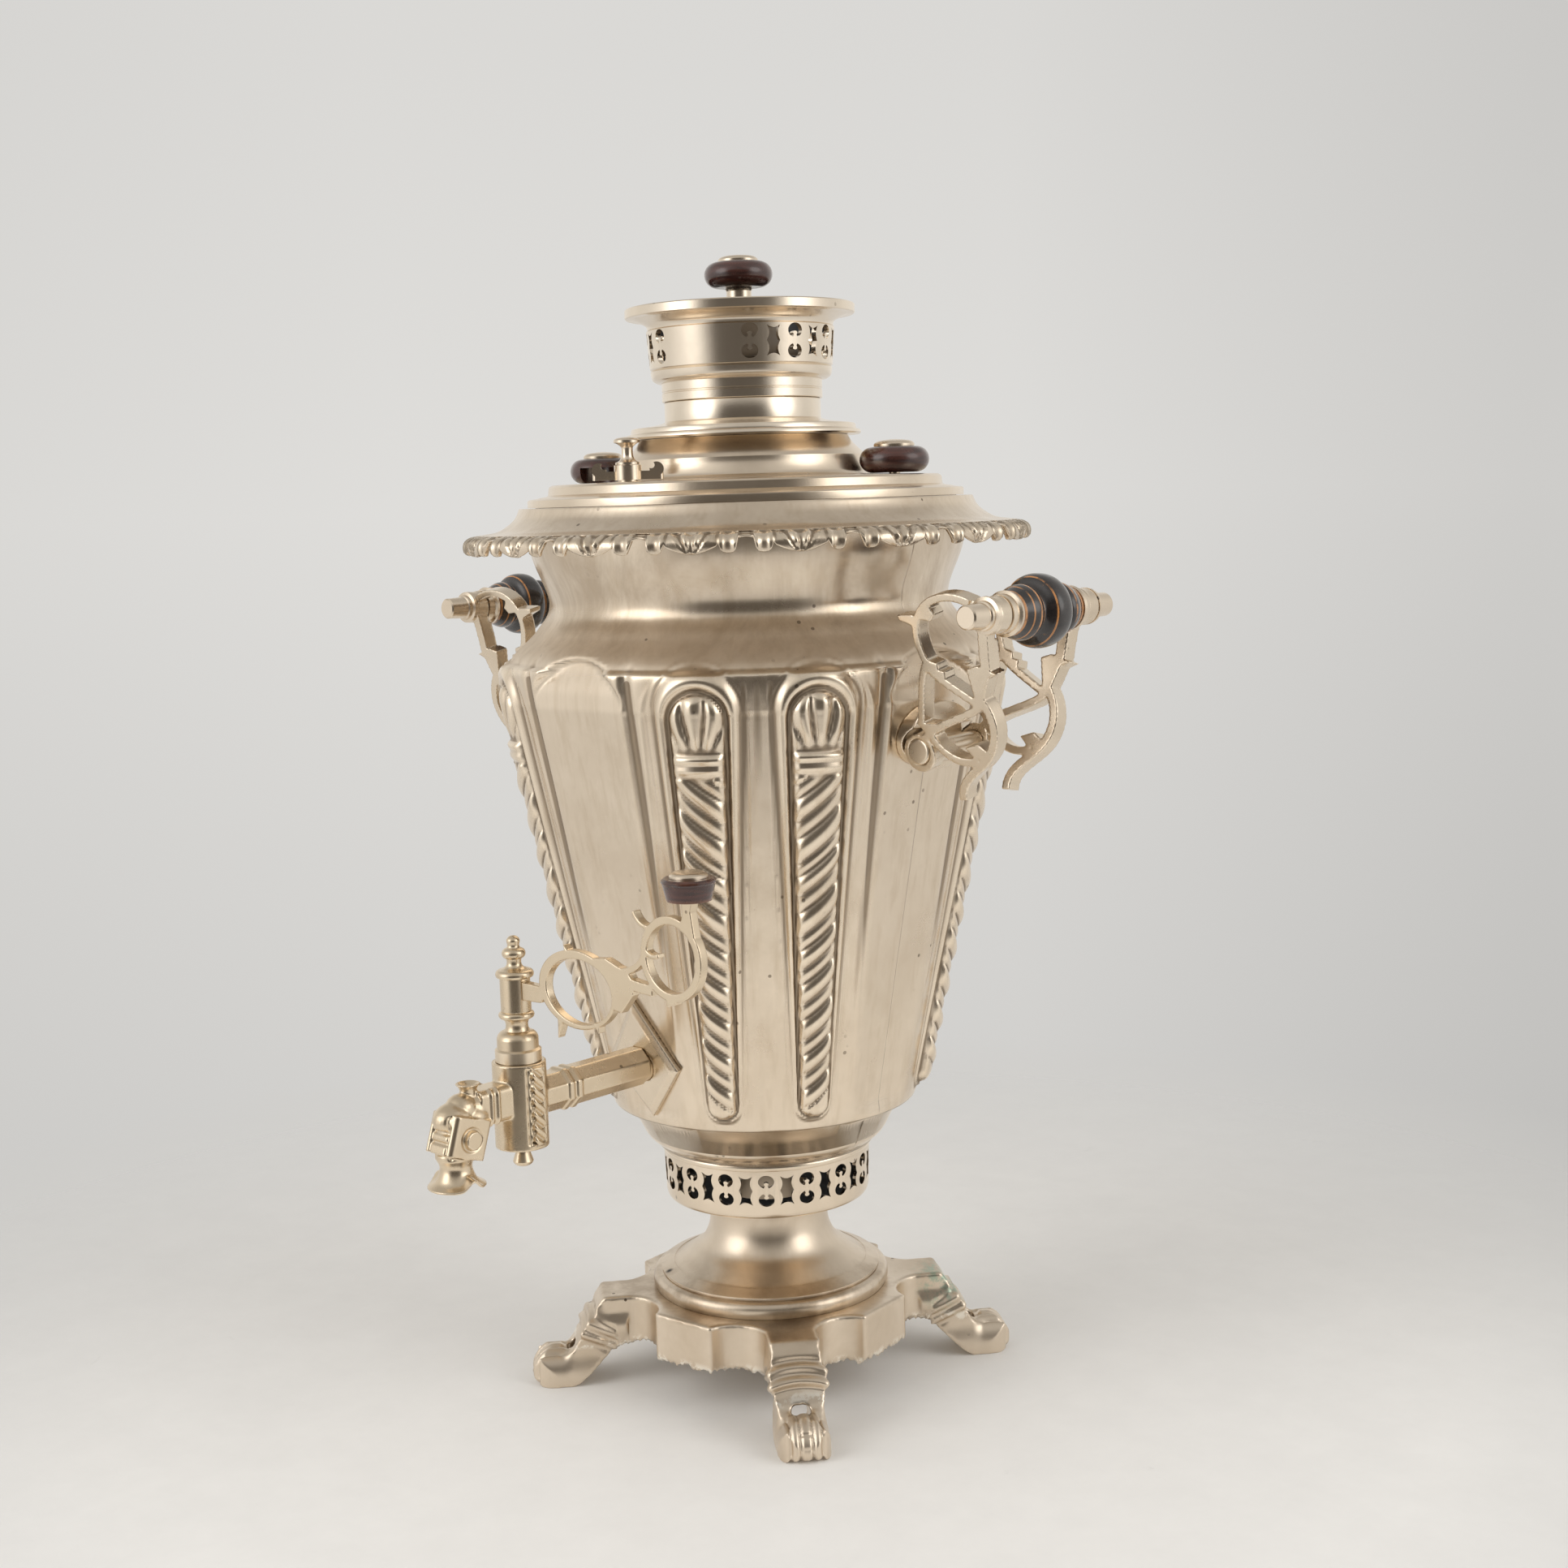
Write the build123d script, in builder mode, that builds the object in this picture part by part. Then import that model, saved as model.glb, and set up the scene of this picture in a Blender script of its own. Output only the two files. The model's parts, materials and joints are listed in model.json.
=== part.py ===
from build123d import *
import os
from math import atan, cos, radians, sin

# A charcoal-fired samovar with a pierced air gallery, a pierced crown and an embossed tank.
# Millimetres, +Z up. The origin is on the table under the tank's axis, the tap looks
# towards -Y, and the two carrying handles stand on +X and -X.

# ---- Clearances --------------------------------------------------------------------------
SEAT_GAP = 0.2       # under a piece that lies loose on its seat
LIFT_CLEARANCE = 0.4  # radial, round pieces that lift off
RUN_CLEARANCE = 0.05  # radial, the tap key in its barrel
FIXED_CLEARANCE = 0.05  # radial, pieces soldered or riveted in place

# ---- Base and pedestal -------------------------------------------------------------------
base_turn = 5.7          # the base sits turned a little on the tank's axis
foot_reach = 113.0       # toe tip from the axis
base_panel_reach = 65.0  # flat apron panel from the axis
base_panel_half = 16.0   # half width of an apron panel
base_apron_z = 20.5      # lower edge of the aprons
base_plate_z = 41.5      # top of the base plate
base_wall = 3.0
leg_shoulder_reach = 79.0
leg_half_width = 11.3
scoop_depth = 6.0
instep_hole_width = 8.2
pedestal_height = 43.3
pedestal_foot_radius = 54.7
pedestal_neck_radius = 27.2
pedestal_wall = 1.6

# ---- Air gallery -------------------------------------------------------------------------
gallery_radius = 46.9
gallery_height = 25.6
gallery_wall = 1.4
gallery_motifs = 16      # figure-eight and spool holes, taken in turn
gallery_motif_scale = 1.08
gallery_first_angle = -47.0

# ---- Tank --------------------------------------------------------------------------------
tank_lip_radius = 50.0
cone_foot_radius = 70.0
cone_foot_rise = 20.7    # above the tank's lower edge
cone_foot_rounding = 6.3 # height over which the foot turns into the cone
cone_top_radius = 109.5
cone_height = 190.5
neck_radius = 89.3
shoulder_height = 38.0
rim_radius = 99.0
neck_height = 40.0
tank_wall = 1.2
tank_floor_rise = 6.0
panel_half_angle = 14.5  # of the four flat panels
panel_arch_half = 28.0   # half width and height of a panel's arched top
panel_arch_rise = 21.0
cord_top_spread = 24.4   # of a rope flute from its diagonal, at the top
cord_foot_spread = 18.8
cord_top_half = 11.6     # half width of a rope flute
cord_foot_half = 6.2
cord_foot_rise = 13.5    # of the centres of its round ends over the foot of the cone
cord_top_rise = 187.0
cord_proud = 4.2         # of a rope flute's flanks over the cone
crest_proud = 6.8        # of its crest
crest_share = 0.6        # of the flute's width that the crest takes
arch_top_half = 18.8     # half width of the raised arch round a rope flute
arch_foot_half = 8.2
arch_foot_rise = 12.8
arch_top_rise = 192.0
arch_proud = 1.0

# ---- Fire tube and grate -----------------------------------------------------------------
tube_foot_radius = 41.0
tube_top_radius = 33.3
tube_wall = 1.2
tube_stand = 27.0        # of the fire tube over the collar, inside the lid's dome
flue_stand = 60.0        # of the crown's flue over the collar
tube_cone_start = 145.0  # above the tank's floor
tube_cone_height = 80.0
grate_thickness = 3.0
grate_bar_pitch = 9.0
grate_slot_width = 4.5

# ---- Collar, lid, crown and damper -------------------------------------------------------
collar_lip = 2.0         # thickness of the collar's flat lip
mouth_radius = 94.0
collar_reach = 126.5
collar_drop = 20.0       # of the leaf fringe below the lip
collar_wall = 1.4
leaf_count = 36
lid_radius = 97.0
lid_step_radius = 87.5
lid_dome_foot_radius = 56.5
lid_dome_top_radius = 46.5
lid_dome_height = 28.0
lid_wall = 1.2
lid_lip_depth = 9.0
lid_knob_reach = 71.0
lid_knob_angle = 20.0
vent_reach = 71.0
vent_bar_angle = 45.0
skirt_radius = 52.3
skirt_height = 16.0
crown_neck_radius = 35.6
crown_neck_height = 8.2
crown_bowl_radius = 40.8
crown_bowl_height = 28.0
crown_flange_radius = 50.8
crown_flange_edge = 4.4
crown_wall = 1.3
crown_first_angle = -40.5
crown_pitch = 14.6
crown_group = 9          # motifs in each of the two pierced stretches
damper_flange_radius = 36.0
damper_plug_depth = 9.0
damper_dome_height = 24.0
knob_radius = 15.1
knob_height = 11.0
knob_stem_radius = 5.5
knob_screw_radius = 2.4
knob_cap_radius = 8.8

# ---- Tap ---------------------------------------------------------------------------------
tap_rise = 29.0          # of the tap pipe over the foot of the cone
tap_reach = 145.5        # barrel axis from the tank's axis
pipe_across = 16.0       # across the flats of the octagonal pipe
pipe_bore_radius = 4.5
plate_half_width = 21.5
plate_up = 30.5
plate_down = 25.0
plate_thickness = 3.6
plate_bevel = 1.4
shank_radius = 7.4
barrel_radius = 11.2
barrel_up = 16.5
barrel_down = 19.5
key_top_radius = 7.6
key_foot_radius = 6.7
key_port_radius = 3.6
key_post_radius = 6.3    # where the handle is brazed on
handle_thickness = 4.0
spout_reach = 35.0       # mouth axis from the barrel axis
mouth_drop = 28.5        # of the spout mouth under the pipe's axis
bell_radius = 12.2

# ---- Carrying handles --------------------------------------------------------------------
grip_reach = 159.5
grip_z = 355.0
grip_half = 20.0
grip_radius = 15.0
grip_rod_radius = 2.4
ferrule_radius = 9.2
grip_cap_length = 13.5
bracket_tilt = 11.3      # the two brackets of a handle lean together downwards
bracket_band = 3.4       # width of the scroll bands
bracket_depth = 7.0      # of the castings across their plane
bracket_eye_y = 29.0     # of a bracket's upper eye from the handle's middle
saddle_z = 298.0
saddle_reach = 114.5
saddle_half_width = 21.0
saddle_half_height = 14.0
saddle_pin_radius = 5.4

# ---- Heights and radii that follow -------------------------------------------------------
pedestal_top = base_plate_z + pedestal_height
gallery_top = pedestal_top + gallery_height
tank_z = gallery_top + SEAT_GAP
cone_foot_z = tank_z + cone_foot_rise
cone_top_z = cone_foot_z + cone_height
neck_z = cone_top_z + shoulder_height
rim_z = neck_z + neck_height
tank_floor_z = tank_z + tank_floor_rise
collar_z = rim_z + collar_lip
tube_top_z = collar_z + tube_stand
flue_top_z = collar_z + flue_stand
lid_z = collar_z + SEAT_GAP
lid_plate_z = lid_z + 10.3
dome_top_z = lid_z + lid_dome_height
skirt_z = dome_top_z + SEAT_GAP
crown_z = skirt_z + skirt_height + SEAT_GAP
bowl_z = crown_z + crown_neck_height
crown_top_z = bowl_z + crown_bowl_height + crown_flange_edge
damper_z = flue_top_z + SEAT_GAP
stem_foot_z = damper_z + damper_dome_height
knob_z = stem_foot_z + 9.5
tap_z = cone_foot_z + tap_rise
cone_slope = (cone_top_radius - cone_foot_radius) / cone_height
lift_radius = tube_top_radius + LIFT_CLEARANCE


def cone_radius(z):
    """Radius of the tank's cone at a height."""
    return cone_foot_radius + (z - cone_foot_z) * cone_slope


def panel_distance(z):
    """Distance from the axis to a flat panel at a height."""
    return cone_radius(z) * cos(radians(panel_half_angle))


def between(low, high, share):
    """The value a given share of the way from low to high."""
    return low + (high - low) * share


def round_plane(angle, reach, z):
    """A plane that looks outwards at an angle, its x tangential and its y up."""
    outward = (cos(radians(angle)), sin(radians(angle)), 0)
    sideways = (-sin(radians(angle)), cos(radians(angle)), 0)
    origin = (reach * outward[0], reach * outward[1], z)
    return Plane(origin=origin, x_dir=sideways, z_dir=outward)


# ---- The tank's form, used for its outside, its inside and the pieces on it ---------------
def flute_plane(angle, side):
    """The plane of a rope flute: its x across the flute, its y up the cone's side."""
    top = Vector(cone_top_radius, side * cord_top_spread, cone_top_z)
    foot = Vector(cone_foot_radius, side * cord_foot_spread, cone_foot_z)
    up = (top - foot).normalized()
    outward = Vector(0, 1, 0).cross(up).normalized()
    plane = Plane(origin=foot, x_dir=up.cross(outward), z_dir=outward)
    return Plane(Location((0, 0, 0), (0, 0, angle)) * plane.location)


def tongue(plane, foot_half, top_half, foot_up, top_up, inset):
    """A tapered bar with round ends, standing through a flute plane."""
    with BuildPart() as bar:
        with BuildSketch(plane.offset(-25)):
            with Locations((0, foot_up)):
                Circle(foot_half - inset)
            with Locations((0, top_up)):
                Circle(top_half - inset)
            make_hull()
        extrude(amount=40)
    return bar.part


def tank_envelope(proud):
    """The tank without its panels, its radius changed by proud all the way up."""
    with BuildPart() as turned:
        with BuildSketch(Plane.XZ):
            with BuildLine():
                foot = (tank_lip_radius + proud, tank_z + 0.8)
                groove = (between(tank_lip_radius, cone_foot_radius, 0.37) + proud, tank_z + 13.2)
                knee_z = cone_foot_z + cone_foot_rounding
                knee = (cone_radius(knee_z) + proud, knee_z)
                cone_top = (cone_top_radius + proud, cone_top_z)
                waist = (neck_radius + proud, neck_z)
                rim = (rim_radius + proud, rim_z)
                Polyline((0, tank_z), (foot[0], tank_z), foot)
                Spline(
                    foot,
                    (between(foot[0], groove[0], 0.70), between(foot[1], groove[1], 0.38)),
                    groove,
                    tangents=((1, 0.7), (0.1, 1)),
                )
                Spline(
                    groove,
                    (between(groove[0], knee[0], 0.43), between(groove[1], knee[1], 0.52)),
                    knee,
                    tangents=((0.6, 1), (cone_slope, 1)),
                )
                Line(knee, cone_top)
                Spline(
                    cone_top,
                    (between(waist[0], cone_top[0], 0.88), between(cone_top_z, neck_z, 0.36)),
                    (between(waist[0], cone_top[0], 0.30), between(cone_top_z, neck_z, 0.68)),
                    waist,
                    tangents=((cone_slope, 1), (0, 1)),
                )
                Spline(
                    waist,
                    (between(waist[0], rim[0], 0.72), between(neck_z, rim_z, 0.52)),
                    rim,
                    tangents=((0, 1), (0.05, 1)),
                )
                Polyline(rim, (0, rim_z), (0, tank_z))
            make_face()
        revolve(axis=Axis.Z)
    return turned.part


def tank_form(inset):
    """The tank's whole form with its panels, arches and rope flutes, drawn in by inset."""
    arch_shell = tank_envelope(arch_proud - inset)
    cord_shell = tank_envelope(cord_proud - inset)
    crest_shell = tank_envelope(crest_proud - inset)
    low = tank_z + 20
    bend = cone_top_z - 4
    high = bend + panel_arch_rise
    arch_half = panel_arch_half + inset
    # One panel's cut: flat up the cone, drawn in with the shoulder, arched at the top.
    with BuildPart() as panel_cut:
        with BuildSketch(Plane.XZ):
            with BuildLine():
                Polyline(
                    (panel_distance(low) - inset, low),
                    (panel_distance(bend) - inset, bend),
                    (panel_distance(bend) - inset, bend + 0.35 * panel_arch_rise),
                    (panel_distance(bend) - inset - 4.2, high + 2),
                    (2 * cone_top_radius, high + 2),
                    (2 * cone_top_radius, low),
                    close=True,
                )
            make_face()
        extrude(amount=cone_top_radius / 2, both=True)
        with BuildSketch(Plane.YZ):
            with Locations((0, bend)):
                Ellipse(arch_half, panel_arch_rise + inset)
            with Locations((0, (bend + low) / 2 - 5)):
                Rectangle(2 * arch_half, bend - low + 10)
        extrude(amount=3 * cone_top_radius, mode=Mode.INTERSECT)
    with BuildPart() as form:
        add(tank_envelope(-inset))
        with PolarLocations(0, 4):
            add(panel_cut.part, mode=Mode.SUBTRACT)
        for quarter in range(4):
            for side in (-1, 1):
                plane = flute_plane(45 + 90 * quarter, side)
                arch = tongue(plane, arch_foot_half, arch_top_half, arch_foot_rise, arch_top_rise, inset)
                cord = tongue(plane, cord_foot_half, cord_top_half, cord_foot_rise, cord_top_rise, inset)
                crest_foot = cord_foot_half * crest_share
                crest_top = cord_top_half * crest_share
                crest = tongue(plane, crest_foot, crest_top, cord_foot_rise, cord_top_rise, inset)
                add(arch & arch_shell)
                add(cord & cord_shell)
                add(crest & crest_shell)
    return form.part


# ---- Base: a hollow plate with four aprons and four lion legs in one casting --------------
def base_outline(grow):
    """A quarter of the plate's outline, its leg along +X, drawn out by grow."""
    panel_end = Vector(base_panel_reach + grow, -base_panel_half - 0.4 * grow).rotate(Axis.Z, 45)
    shoulder = Vector(leg_shoulder_reach + grow, leg_half_width + grow)
    hip = Vector(between(base_panel_reach, leg_shoulder_reach, 0.1) + grow, leg_half_width + grow)
    chord = panel_end - hip
    inward = Vector(-chord.Y, chord.X).normalized()
    scoop = (panel_end + hip) * 0.5 + inward * scoop_depth
    return panel_end, scoop, hip, shoulder


def base_plate_sketch(grow):
    """The plate's whole outline: four shoulders, eight scoops and four flat panels."""
    panel_end, scoop, hip, shoulder = base_outline(grow)
    with BuildSketch() as whole:
        with BuildLine():
            for quarter in range(4):
                turn = 90 * quarter
                spots = [point.rotate(Axis.Z, turn) for point in (panel_end, scoop, hip, shoulder)]
                mirrored = [
                    Vector(point.X, -point.Y).rotate(Axis.Z, turn)
                    for point in (shoulder, hip, scoop, panel_end)
                ]
                ThreePointArc(*spots[:3])
                Line(spots[2], spots[3])
                Line(spots[3], mirrored[0])
                Line(mirrored[0], mirrored[1])
                ThreePointArc(*mirrored[1:])
                next_end = panel_end.rotate(Axis.Z, turn - 90)
                Line(mirrored[3], next_end)
        make_face()
    return whole.sketch


with BuildPart() as leg:
    toe = foot_reach
    with BuildSketch(Plane.XZ):
        with BuildLine():
            Polyline(
                (leg_shoulder_reach - 12, base_plate_z),
                (leg_shoulder_reach, base_plate_z),
                (leg_shoulder_reach + 3.5, base_plate_z - 5),
                (leg_shoulder_reach + 4.5, base_plate_z - 8),
                (toe - 24.5, 28.5),
                (toe - 22.5, 23),
                (toe - 19.5, 17),
                (toe - 15.5, 15.5),
            )
            Spline(
                (toe - 15.5, 15.5),
                (toe - 9, 18.6),
                (toe - 2.8, 15),
                (toe, 9),
                (toe - 1, 3),
                (toe - 6, 0),
            )
            Line((toe - 6, 0), (toe - 20, 0))
            Spline((toe - 20, 0), (toe - 27, 5.5), (toe - 34, 12.5), (toe - 44, base_apron_z - 1))
            Line((toe - 44, base_apron_z - 1), (leg_shoulder_reach - 12, base_plate_z))
        make_face()
    extrude(amount=leg_half_width + 2, both=True)
    # Seen from the front the leg swells at its two rings and narrows at the ankle.
    with BuildSketch(Plane.YZ.offset(leg_shoulder_reach - 14)):
        with BuildLine():
            for side in (-1, 1):
                Spline(
                    (side * leg_half_width, base_plate_z + 1),
                    (side * (leg_half_width + 0.4), base_plate_z - 9),
                    (side * (leg_half_width + 1.6), base_plate_z - 14),
                    (side * (leg_half_width - 1.0), 17),
                    (side * (leg_half_width + 0.2), 8),
                    (side * leg_half_width, -1),
                )
            Line((-leg_half_width, base_plate_z + 1), (leg_half_width, base_plate_z + 1))
            Line((-leg_half_width, -1), (leg_half_width, -1))
        make_face()
    extrude(amount=60, mode=Mode.INTERSECT)
    # Seen from above the toes are rounded off.
    with BuildSketch(Plane.XY.offset(-1)):
        with Locations(((leg_shoulder_reach - 20 + toe) / 2, 0)):
            RectangleRounded(toe - leg_shoulder_reach + 20, 2 * leg_half_width + 4, 8.5)
    extrude(amount=base_plate_z + 2, mode=Mode.INTERSECT)
    # The two rings under the knee.
    for along, down in ((5.2, 9.5), (8.6, 15.0)):
        ring_plane = Plane(
            origin=(leg_shoulder_reach + along - 5, 0, base_plate_z - down - 2),
            x_dir=(0, 1, 0),
            z_dir=(0.55, 0, -1),
        )
        with BuildSketch(ring_plane):
            RectangleRounded(2 * leg_half_width + 3.2, 13, 5)
        extrude(amount=2.2)
    # The see-through instep and the three grooves between the toes.
    with BuildSketch(Plane.YZ.offset(toe - 36)):
        with Locations((0, 13.5)):
            RectangleRounded(instep_hole_width, 9, 2)
    extrude(amount=19, mode=Mode.SUBTRACT)
    for groove in (-5.4, 0, 5.4):
        with BuildSketch(Plane.XY.offset(-1)):
            with Locations((toe + 1, groove + (1.2 if groove > 0 else -1.2 if groove < 0 else 0))):
                Circle(1.5)
        extrude(amount=17, mode=Mode.SUBTRACT)

with BuildPart() as base:
    with BuildSketch(Plane.XY.offset(base_apron_z)):
        add(base_plate_sketch(0))
    extrude(amount=base_plate_z - base_apron_z)
    with BuildSketch(Plane.XY.offset(base_apron_z - 1)):
        add(base_plate_sketch(-base_wall))
    extrude(amount=base_plate_z - base_wall - base_apron_z + 1, mode=Mode.SUBTRACT)
    with PolarLocations(0, 4):
        add(leg.part)
    # The opening under the pedestal, where its foot is riveted.
    Hole(radius=pedestal_neck_radius)
base_casting = base.part.rotate(Axis.Z, 45 + base_turn)
base_casting.label = "base"

# ---- Pedestal: a spun foot that carries the gallery on its neck ---------------------------
with BuildPart() as pedestal:
    foot_r = pedestal_foot_radius
    neck_r = pedestal_neck_radius
    z0 = base_plate_z
    z1 = pedestal_top
    with BuildSketch(Plane.XZ):
        with BuildLine():
            Line((foot_r - 3, z0), (foot_r - 1.2, z0))
            ThreePointArc((foot_r - 1.2, z0), (foot_r, z0 + 3.6), (foot_r - 2.6, z0 + 7.2))
            Polyline((foot_r - 2.6, z0 + 7.2), (foot_r - 4.4, z0 + 7.7), (foot_r - 4.0, z0 + 8.6))
            Spline(
                (foot_r - 4.0, z0 + 8.6),
                (foot_r - 12, z0 + 11.8),
                (neck_r + 10.1, z0 + 15.5),
                (neck_r + 4.4, z0 + 20),
                (neck_r + 1.0, z0 + 26.5),
                (neck_r, z0 + 33),
                (neck_r + 1.6, z1),
                tangents=((-1, 0.3), (0.3, 1)),
            )
            Line((neck_r + 1.6, z1), (neck_r - 4, z1))
            Line((neck_r - 4, z1), (neck_r - 4, z1 - pedestal_wall))
            Spline(
                (neck_r - 4, z1 - pedestal_wall),
                (neck_r - pedestal_wall, z0 + 36),
                (neck_r - pedestal_wall, z0 + 30),
                (neck_r + 2.6, z0 + 19),
                (neck_r + 9.0, z0 + 13.6),
                (foot_r - 12.6, z0 + 10),
                (foot_r - 7.4, z0 + 7.6),
            )
            Polyline((foot_r - 7.4, z0 + 7.6), (foot_r - 6.4, z0 + 5.5), (foot_r - 3, z0 + 4))
            Line((foot_r - 3, z0 + 4), (foot_r - 3, z0))
        make_face()
    revolve(axis=Axis.Z)
pedestal.part.label = "pedestal"


# ---- Pierced holes ------------------------------------------------------------------------
def eight_hole(scale):
    """The two round holes of a figure eight, each with a tab left standing between them."""
    with BuildSketch() as motif:
        for side in (-1, 1):
            with Locations((0, side * 3.9 * scale)):
                Ellipse(3.2 * scale, 2.7 * scale)
            with Locations((0, side * 1.9 * scale)):
                Circle(1.25 * scale, mode=Mode.SUBTRACT)
    return motif.sketch


def spool_hole(scale):
    """An upright hole with four horns and a point half way up each side."""
    wide = 2.9 * scale
    tall = 6.2 * scale
    with BuildSketch() as motif:
        with BuildLine():
            ThreePointArc((-wide, tall), (0, tall - 1.1 * scale), (wide, tall))
            ThreePointArc((wide, tall), (wide - 1.0 * scale, tall / 2), (wide, 0))
            ThreePointArc((wide, 0), (wide - 1.0 * scale, -tall / 2), (wide, -tall))
            ThreePointArc((wide, -tall), (0, 1.1 * scale - tall), (-wide, -tall))
            ThreePointArc((-wide, -tall), (1.0 * scale - wide, -tall / 2), (-wide, 0))
            ThreePointArc((-wide, 0), (1.0 * scale - wide, tall / 2), (-wide, tall))
        make_face()
    return motif.sketch


# ---- Gallery: the pierced cup that lets air in under the fire -----------------------------
with BuildPart() as gallery:
    with BuildSketch(Plane.XZ):
        with BuildLine():
            outer = gallery_radius
            inner = gallery_radius - gallery_wall
            low = pedestal_top
            floor_hole = pedestal_neck_radius - 6
            Line((floor_hole, low), (outer - 3, low))
            ThreePointArc((outer - 3, low), (outer - 0.8, low + 0.8), (outer, low + 3))
            Polyline(
                (outer, low + 3),
                (outer + 0.7, gallery_top - 2.9),
                (outer + 1.5, gallery_top - 2.4),
                (outer + 1.7, gallery_top - 1.2),
                (outer + 1.3, gallery_top),
                (inner, gallery_top),
                (inner, low + 3.4),
            )
            ThreePointArc(
                (inner, low + 3.4),
                (inner - 0.6, low + 1.9),
                (inner - 2.4, low + gallery_wall),
            )
            Polyline((inner - 2.4, low + gallery_wall), (floor_hole, low + gallery_wall), (floor_hole, low))
        make_face()
    revolve(axis=Axis.Z)
    hole_z = between(pedestal_top, gallery_top, 0.535)
    step = 360 / gallery_motifs
    eights = [
        round_plane(gallery_first_angle + step * turn, gallery_radius + 3, hole_z)
        for turn in range(gallery_motifs)
    ]
    spools = [
        round_plane(gallery_first_angle + step * (turn + 0.5), gallery_radius + 3, hole_z)
        for turn in range(gallery_motifs)
    ]
    with BuildSketch(*eights):
        add(eight_hole(gallery_motif_scale))
    extrude(amount=-10, mode=Mode.SUBTRACT)
    with BuildSketch(*spools):
        add(spool_hole(gallery_motif_scale))
    extrude(amount=-10, mode=Mode.SUBTRACT)
gallery.part.label = "gallery"

# ---- Tank ---------------------------------------------------------------------------------
tank_outside = tank_form(0)

with BuildPart() as water_space:
    add(tank_form(tank_wall))
    with BuildSketch(Plane.XY.offset(tank_z - 1)):
        Circle(2 * cone_top_radius)
    extrude(amount=tank_floor_rise + 1, mode=Mode.SUBTRACT)

with BuildPart() as tank:
    add(tank_outside)
    # The air space below the floor, then the water space above it, open at the top.
    with BuildSketch(Plane.XY.offset(tank_z - 1)):
        Circle(tank_lip_radius - tank_wall)
    extrude(amount=tank_floor_rise + 1 - tank_wall, mode=Mode.SUBTRACT)
    with BuildSketch(Plane.XY.offset(tank_z - 1)):
        Circle(tube_foot_radius + FIXED_CLEARANCE)
    extrude(amount=tank_floor_rise + 10, mode=Mode.SUBTRACT)
    add(water_space.part, mode=Mode.SUBTRACT)
    # The hole for the tap's shank.
    with BuildSketch(Plane.XZ.offset(cone_foot_radius / 2)):
        with Locations((0, tap_z)):
            Circle(shank_radius + FIXED_CLEARANCE)
    extrude(amount=cone_foot_radius, mode=Mode.SUBTRACT)
tank.part.label = "tank"

# ---- Fire tube and grate ------------------------------------------------------------------
tube_bend_z = tank_floor_z + tube_cone_start
with BuildPart() as fire_tube:
    foot_z = tank_floor_z - tank_wall - 1.2
    with BuildSketch(Plane.XZ):
        with BuildLine():
            Polyline(
                (tube_foot_radius + 3.5, foot_z),
                (tube_foot_radius + 3.5, foot_z + 1.1),
                (tube_foot_radius, foot_z + 1.1),
                (tube_foot_radius, tube_bend_z),
                (tube_top_radius, tube_bend_z + tube_cone_height),
                (tube_top_radius, tube_top_z),
                (tube_top_radius - tube_wall, tube_top_z),
                (tube_top_radius - tube_wall, tube_bend_z + tube_cone_height),
                (tube_foot_radius - tube_wall, tube_bend_z),
                (tube_foot_radius - tube_wall, foot_z + 6.5),
                (tube_foot_radius - tube_wall - 2, foot_z + 6.5),
                (tube_foot_radius - tube_wall - 2, foot_z + 4.5),
                (tube_foot_radius - tube_wall, foot_z + 4.5),
                (tube_foot_radius - tube_wall, foot_z),
                close=True,
            )
        make_face()
    revolve(axis=Axis.Z)
fire_tube.part.label = "fire_tube"

grate_radius = tube_foot_radius - tube_wall - LIFT_CLEARANCE
with BuildPart() as grate:
    with BuildSketch(Plane.XY.offset(foot_z + 6.5)):
        Circle(grate_radius)
        rows = int((grate_radius - 6) // grate_bar_pitch)
        for row in range(-rows, rows + 1):
            across = row * grate_bar_pitch
            reach = 2 * ((grate_radius - 6) ** 2 - across**2) ** 0.5
            with Locations((0, across)):
                SlotOverall(reach, grate_slot_width, mode=Mode.SUBTRACT)
    extrude(amount=grate_thickness)
grate.part.label = "grate"

# ---- Collar with its leaf fringe ----------------------------------------------------------
with BuildPart() as collar:
    edge = collar_reach
    low = collar_z - collar_drop
    with BuildSketch(Plane.XZ):
        with BuildLine():
            Polyline((mouth_radius, rim_z), (mouth_radius, collar_z), (rim_radius + 2, collar_z))
            Spline(
                (rim_radius + 2, collar_z),
                (rim_radius + 4.5, collar_z - 5),
                (rim_radius + 11, collar_z - 9.8),
                (edge - 9, collar_z - 11),
                tangents=((0.1, -1), (1, 0.05)),
            )
            Spline((edge - 9, collar_z - 11), (edge - 2.5, collar_z - 12), (edge, low + 5), (edge - 3, low))
            Line((edge - 3, low), (edge - 5, low + 0.6))
            Spline(
                (edge - 5, low + 0.6),
                (edge - 2.4, low + 4.5),
                (edge - 4.6, low + 6.4),
                (edge - 9, collar_z - 11 - collar_wall),
            )
            Spline(
                (edge - 9, collar_z - 11 - collar_wall),
                (rim_radius + 9.8, collar_z - 10.9),
                (rim_radius + 3.2, collar_z - 6),
                (rim_radius + 0.4, rim_z),
            )
            Line((rim_radius + 0.4, rim_z), (mouth_radius, rim_z))
        make_face()
    revolve(axis=Axis.Z)
    notch_planes = [round_plane(360 / leaf_count * turn, edge - 9, low) for turn in range(leaf_count)]
    with BuildSketch(*notch_planes):
        Ellipse(4.2, 2.4)
    extrude(amount=12, mode=Mode.SUBTRACT)
collar.part.label = "collar"

# ---- Lid with its two knobs and its steam vent --------------------------------------------
knob_seat_z = lid_plate_z + 0.1
knob_spots = [round_plane(lid_knob_angle + turn, lid_knob_reach, 0).origin for turn in (0, 180)]
vent_tube_radius = 4.2

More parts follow.
